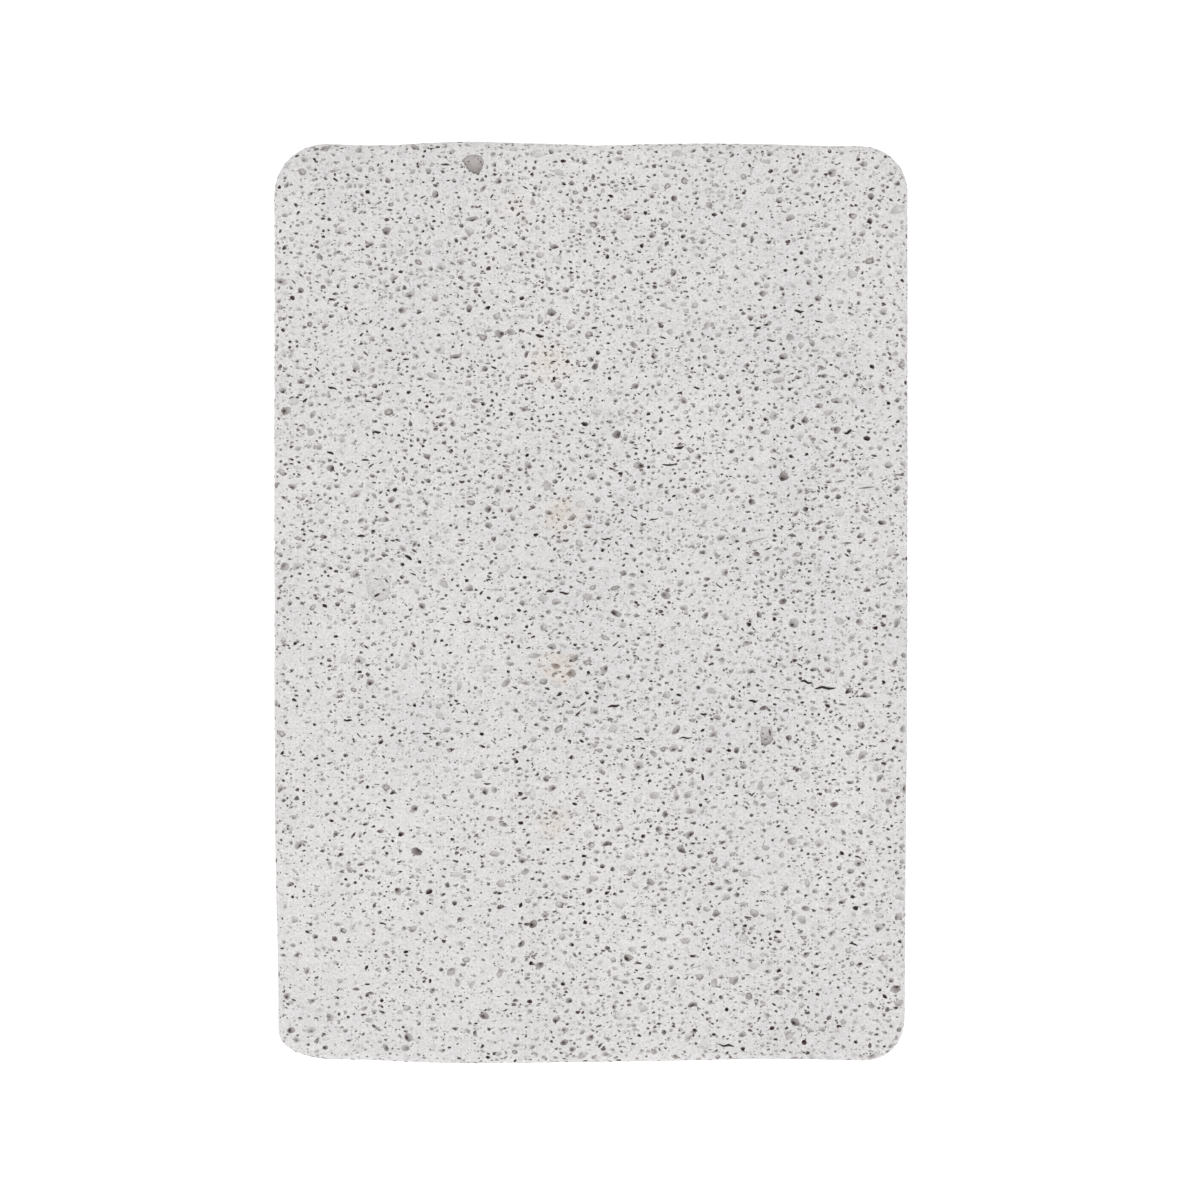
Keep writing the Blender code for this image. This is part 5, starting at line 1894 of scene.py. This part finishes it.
@dataclass(frozen=True)
class PumiceFinish:
    """Pale, dull rock: painted shade grey in its pores, faintly mottled, full of pores too fine to model.

    Its scales are to the metre, and its reaches, heights and depth are in metres.
    """

    light: Colour = (0.717, 0.706, 0.704)  # the bare rock
    warm: Colour = (0.717, 0.704, 0.699)  # its warmer patches
    wall: Colour = (0.414, 0.381, 0.370)  # painted shade on a pore's wall, a little warmer than the bare rock
    pore: Colour = (0.064, 0.040, 0.036)  # painted shadow deep in a pore
    stain: Colour = (0.99, 0.86, 0.72)
    stains: tuple[Stain, ...] = (
        Stain(-4.0, 23.5, 2.8, 0.33), Stain(-3.0, 8.5, 2.6, 0.45), Stain(-3.2, -6.5, 2.4, 0.56),
        Stain(-3.4, -21.5, 2.0, 0.34), Stain(-7.5, 38.5, 2.4, 0.14),
    )
    # how the rock's structure is scaled: drawn out where it is less than 1
    drawn: tuple[float, float, float] = (0.70, 1.0, 0.9)
    grain: Grain = Grain(4600.0, 3.0, 0.70, 0.35)
    mottle: Grain = Grain(1300.0, 2.0, 0.20, 0.6)
    cloud: Grain = Grain(70.0, 2.0, 0.16)
    warmth: tuple[float, float] = (0.35, 0.65)  # the cloud's range over which the rock turns warmer
    wave_scale: float = 4000.0  # how often the fine pores are pushed about
    wave_reach: float = 0.00016
    small: FinePores = FinePores(2300.0, 0.44, 1.6)
    tiny: FinePores = FinePores(4300.0, 0.46, 0.8)
    fine_shade: float = 0.95  # how dark the fine pores' painted shade is
    bare_shade: float = 0.05  # the shade up to which they show
    wall_shade_rate: float = 2.0  # how fast the painted wall shade takes over
    pore_shadow_range: tuple[float, float] = (0.46, 1.0)  # the shades over which the painted pore shadow takes over
    ragged_scale: float = 700.0  # how often a stain's edge turns
    ragged_reach: float = 0.0020
    stain_heights: tuple[float, float] = (0.017, 0.019)  # they come in over these, and stay on the face
    bump: float = 0.8
    bump_depth: float = 0.00006
    roughness: float = 0.88
    roughness_sway: float = 0.1
    specular: float = 0.25

    def build(self) -> bpy.types.Material:
        """Build the material.

        Returns:
            The material.
        """
        graph = Graph("pumice")
        place = graph.node("ShaderNodeTexCoord", None, None, "Object")
        drawn = graph.vector("MULTIPLY", place, self.drawn)
        shade = graph.node("ShaderNodeAttribute", {"attribute_name": PORE_SHADE}, None, "Fac")
        bare = 1.0 - shade.ease(0.0, self.bare_shade)

        cloud = self.cloud.over(place)
        grain, mottle, patches = self.grain.over(place) - 0.5, self.mottle.over(drawn) - 0.5, cloud - 0.5
        wavy = self._wavy(drawn)
        small, small_depth = self.small.over(wavy)
        tiny, tiny_depth = self.tiny.over(wavy)

        colour = graph.mix(cloud.ease(*self.warmth), self.light, self.warm)
        tone = 1.0 + grain * self.grain.tone + mottle * self.mottle.tone + patches * self.cloud.tone
        grey = graph.node("ShaderNodeCombineColor", None, {"Red": tone, "Green": tone, "Blue": tone})
        colour = graph.mix_by("MULTIPLY", 1.0, colour, grey)
        # painted shade: the pores' shade, modelled and fine, darkens the rock towards the painted wall shade
        # and then the painted pore shadow
        deep = shade + (small + tiny) * bare * self.fine_shade
        colour = graph.mix(deep * self.wall_shade_rate, colour, self.wall)
        colour = graph.mix(deep.ease(*self.pore_shadow_range), colour, self.pore)
        for stain in self.stains:
            tinted = graph.mix_by("MULTIPLY", 1.0, colour, self.stain)
            colour = graph.mix(self._stain_mask(place, stain), colour, tinted)

        relief = grain * self.grain.relief + mottle * self.mottle.relief
        relief = relief - small_depth * self.small.relief - tiny_depth * self.tiny.relief
        sockets = {"Strength": self.bump, "Distance": self.bump_depth, "Height": relief}
        return graph.dress(
            Base_Color=colour, Roughness=self.roughness + grain * self.roughness_sway,
            Normal=graph.node("ShaderNodeBump", None, sockets), Specular_IOR_Level=self.specular,
        )

    def _wavy(self, place: Signal) -> Signal:
        """Push a position about at random, so that what is drawn over it comes out uneven.

        Args:
            place: The position.

        Returns:
            The moved position.
        """
        graph = place.graph
        push = graph.vector("SUBTRACT", graph.noise(place, self.wave_scale, 1.0, "Color"), (0.5, 0.5, 0.5))
        return graph.vector("ADD", place, graph.vector("MULTIPLY", push, (self.wave_reach * 2.0,) * 3))

    def _stain_mask(self, place: Signal, stain: Stain) -> Signal:
        """Mask a stain that fades out from its middle.

        Args:
            place: The position.
            stain: The stain.

        Returns:
            The mask.
        """
        graph = place.graph
        middle = (stain.x * MM, stain.y * MM, 0.0)
        away = graph.vector("DISTANCE", graph.vector("MULTIPLY", place, (1.0, 1.0, 0.0)), middle, "Value")
        height = graph.node("ShaderNodeSeparateXYZ", None, {"Vector": place}, "Z")
        ragged = graph.noise(place, self.ragged_scale, 3.0) * (2.0 * self.ragged_reach) - self.ragged_reach
        spread = (away + ragged).ease(0.0, stain.radius * MM, stain.strength, 0.0)
        return spread * height.ease(*self.stain_heights)


@dataclass(frozen=True)
class FloorFinish:
    """A plain pale floor that glows faintly, so that it holds no deep shadow."""

    colour: Colour = (0.60, 0.60, 0.60)
    roughness: float = 0.9
    glow: float = 0.72  # how much light it gives of itself

    def build(self) -> bpy.types.Material:
        """Build the material.

        Returns:
            The material.
        """
        return Graph("studio_floor").dress(
            Base_Color=self.colour, Roughness=self.roughness,
            Emission_Color=(1.0, 1.0, 1.0), Emission_Strength=self.glow,
        )


# ---- The studio ----


@dataclass(frozen=True)
class Lamp:
    """A soft square lamp aimed at the stone, set out in millimetres."""

    name: str
    place: tuple[float, float, float]
    size: float  # the length of its side
    power: float  # in watts

    def build(self, target: Vector) -> None:
        """Hang the lamp.

        Args:
            target: What it is aimed at, in metres.
        """
        light = bpy.data.lights.new(self.name, "AREA")
        light.energy = self.power
        light.size = self.size * MM
        lamp = bpy.data.objects.new(self.name, light)
        lamp.location = Vector(self.place) * MM
        lamp.rotation_euler = (lamp.location - target).to_track_quat("Z", "Y").to_euler()
        bpy.context.scene.collection.objects.link(lamp)


@dataclass(frozen=True)
class Studio:
    """The floor, the light and the camera, which looks straight down on the stone."""

    frame_width: float = 117.0  # how much of the face's plane the view takes in
    offset: tuple[float, float] = (0.88, 0.24)  # where the view's middle is, from the stone's
    lens: float = 100.0
    sensor: float = 36.0
    clip: tuple[float, float] = (0.01, 20.0)  # in metres
    sky: float = 0.725  # the strength of the light from all round
    lamps: tuple[Lamp, ...] = (Lamp("key", (-60.0, -310.0, 1120.0), 400.0, 4.1),)
    floor_size: float = 24000.0

    def build(self, height: float) -> None:
        """Set up the studio.

        Args:
            height: The stone's height.
        """
        self._floor()
        self._sky()
        for lamp in self.lamps:
            lamp.build(Vector((0.0, 0.0, height * MM)))
        self._camera(height)
        bpy.context.scene.view_settings.view_transform = "Standard"

    def _floor(self) -> None:
        """Lay the floor under the stone."""
        half = self.floor_size / 2 * MM
        corners = [(-half, -half, 0), (half, -half, 0), (half, half, 0), (-half, half, 0)]
        mesh = bpy.data.meshes.new("studio_floor")
        mesh.from_pydata(corners, [], [(0, 1, 2, 3)])
        mesh.materials.append(FloorFinish().build())
        floor = bpy.data.objects.new("studio_floor", mesh)
        bpy.context.scene.collection.objects.link(floor)
        floor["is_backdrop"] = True

    def _sky(self) -> None:
        """Light the stone evenly from all round."""
        world = bpy.data.worlds.new("studio_sky")
        world.use_nodes = True
        background = world.node_tree.nodes["Background"]
        background.inputs["Color"].default_value = (1.0, 1.0, 1.0, 1.0)
        background.inputs["Strength"].default_value = self.sky
        bpy.context.scene.world = world

    def _camera(self, height: float) -> None:
        """Point the camera down at the stone, its long way up the view.

        Args:
            height: The stone's height.
        """
        data = bpy.data.cameras.new("camera")
        data.lens = self.lens
        data.sensor_width = self.sensor
        data.clip_start, data.clip_end = self.clip
        camera = bpy.data.objects.new("camera", data)
        distance = self.frame_width * self.lens / self.sensor
        camera.location = Vector((*self.offset, height + distance)) * MM
        bpy.context.scene.collection.objects.link(camera)
        bpy.context.scene.camera = camera


def write_sizes() -> None:
    boxes = {"cad": CAD_BOUNDS, "visual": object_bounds()}
    {name: [list(corner) for corner in box] for name, box in boxes.items()}


def main() -> None:
    """Build the stone and the studio."""
    logging.basicConfig(level=logging.INFO, format="%(name)s: %(message)s")
    stone = PumiceStone()
    piece = stone.build(PumiceFinish().build())
    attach(piece, "root")
    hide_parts(NODE)
    LOG.info("%s: %d points, %d triangles", piece.name, len(piece.data.vertices), len(piece.data.polygons))
    studio = Studio()
    studio.build(stone.form.thickness)
    LOG.info("studio: floor, camera, lamps: %d", len(studio.lamps))
    write_sizes()


if __name__ == "__main__":
    main()
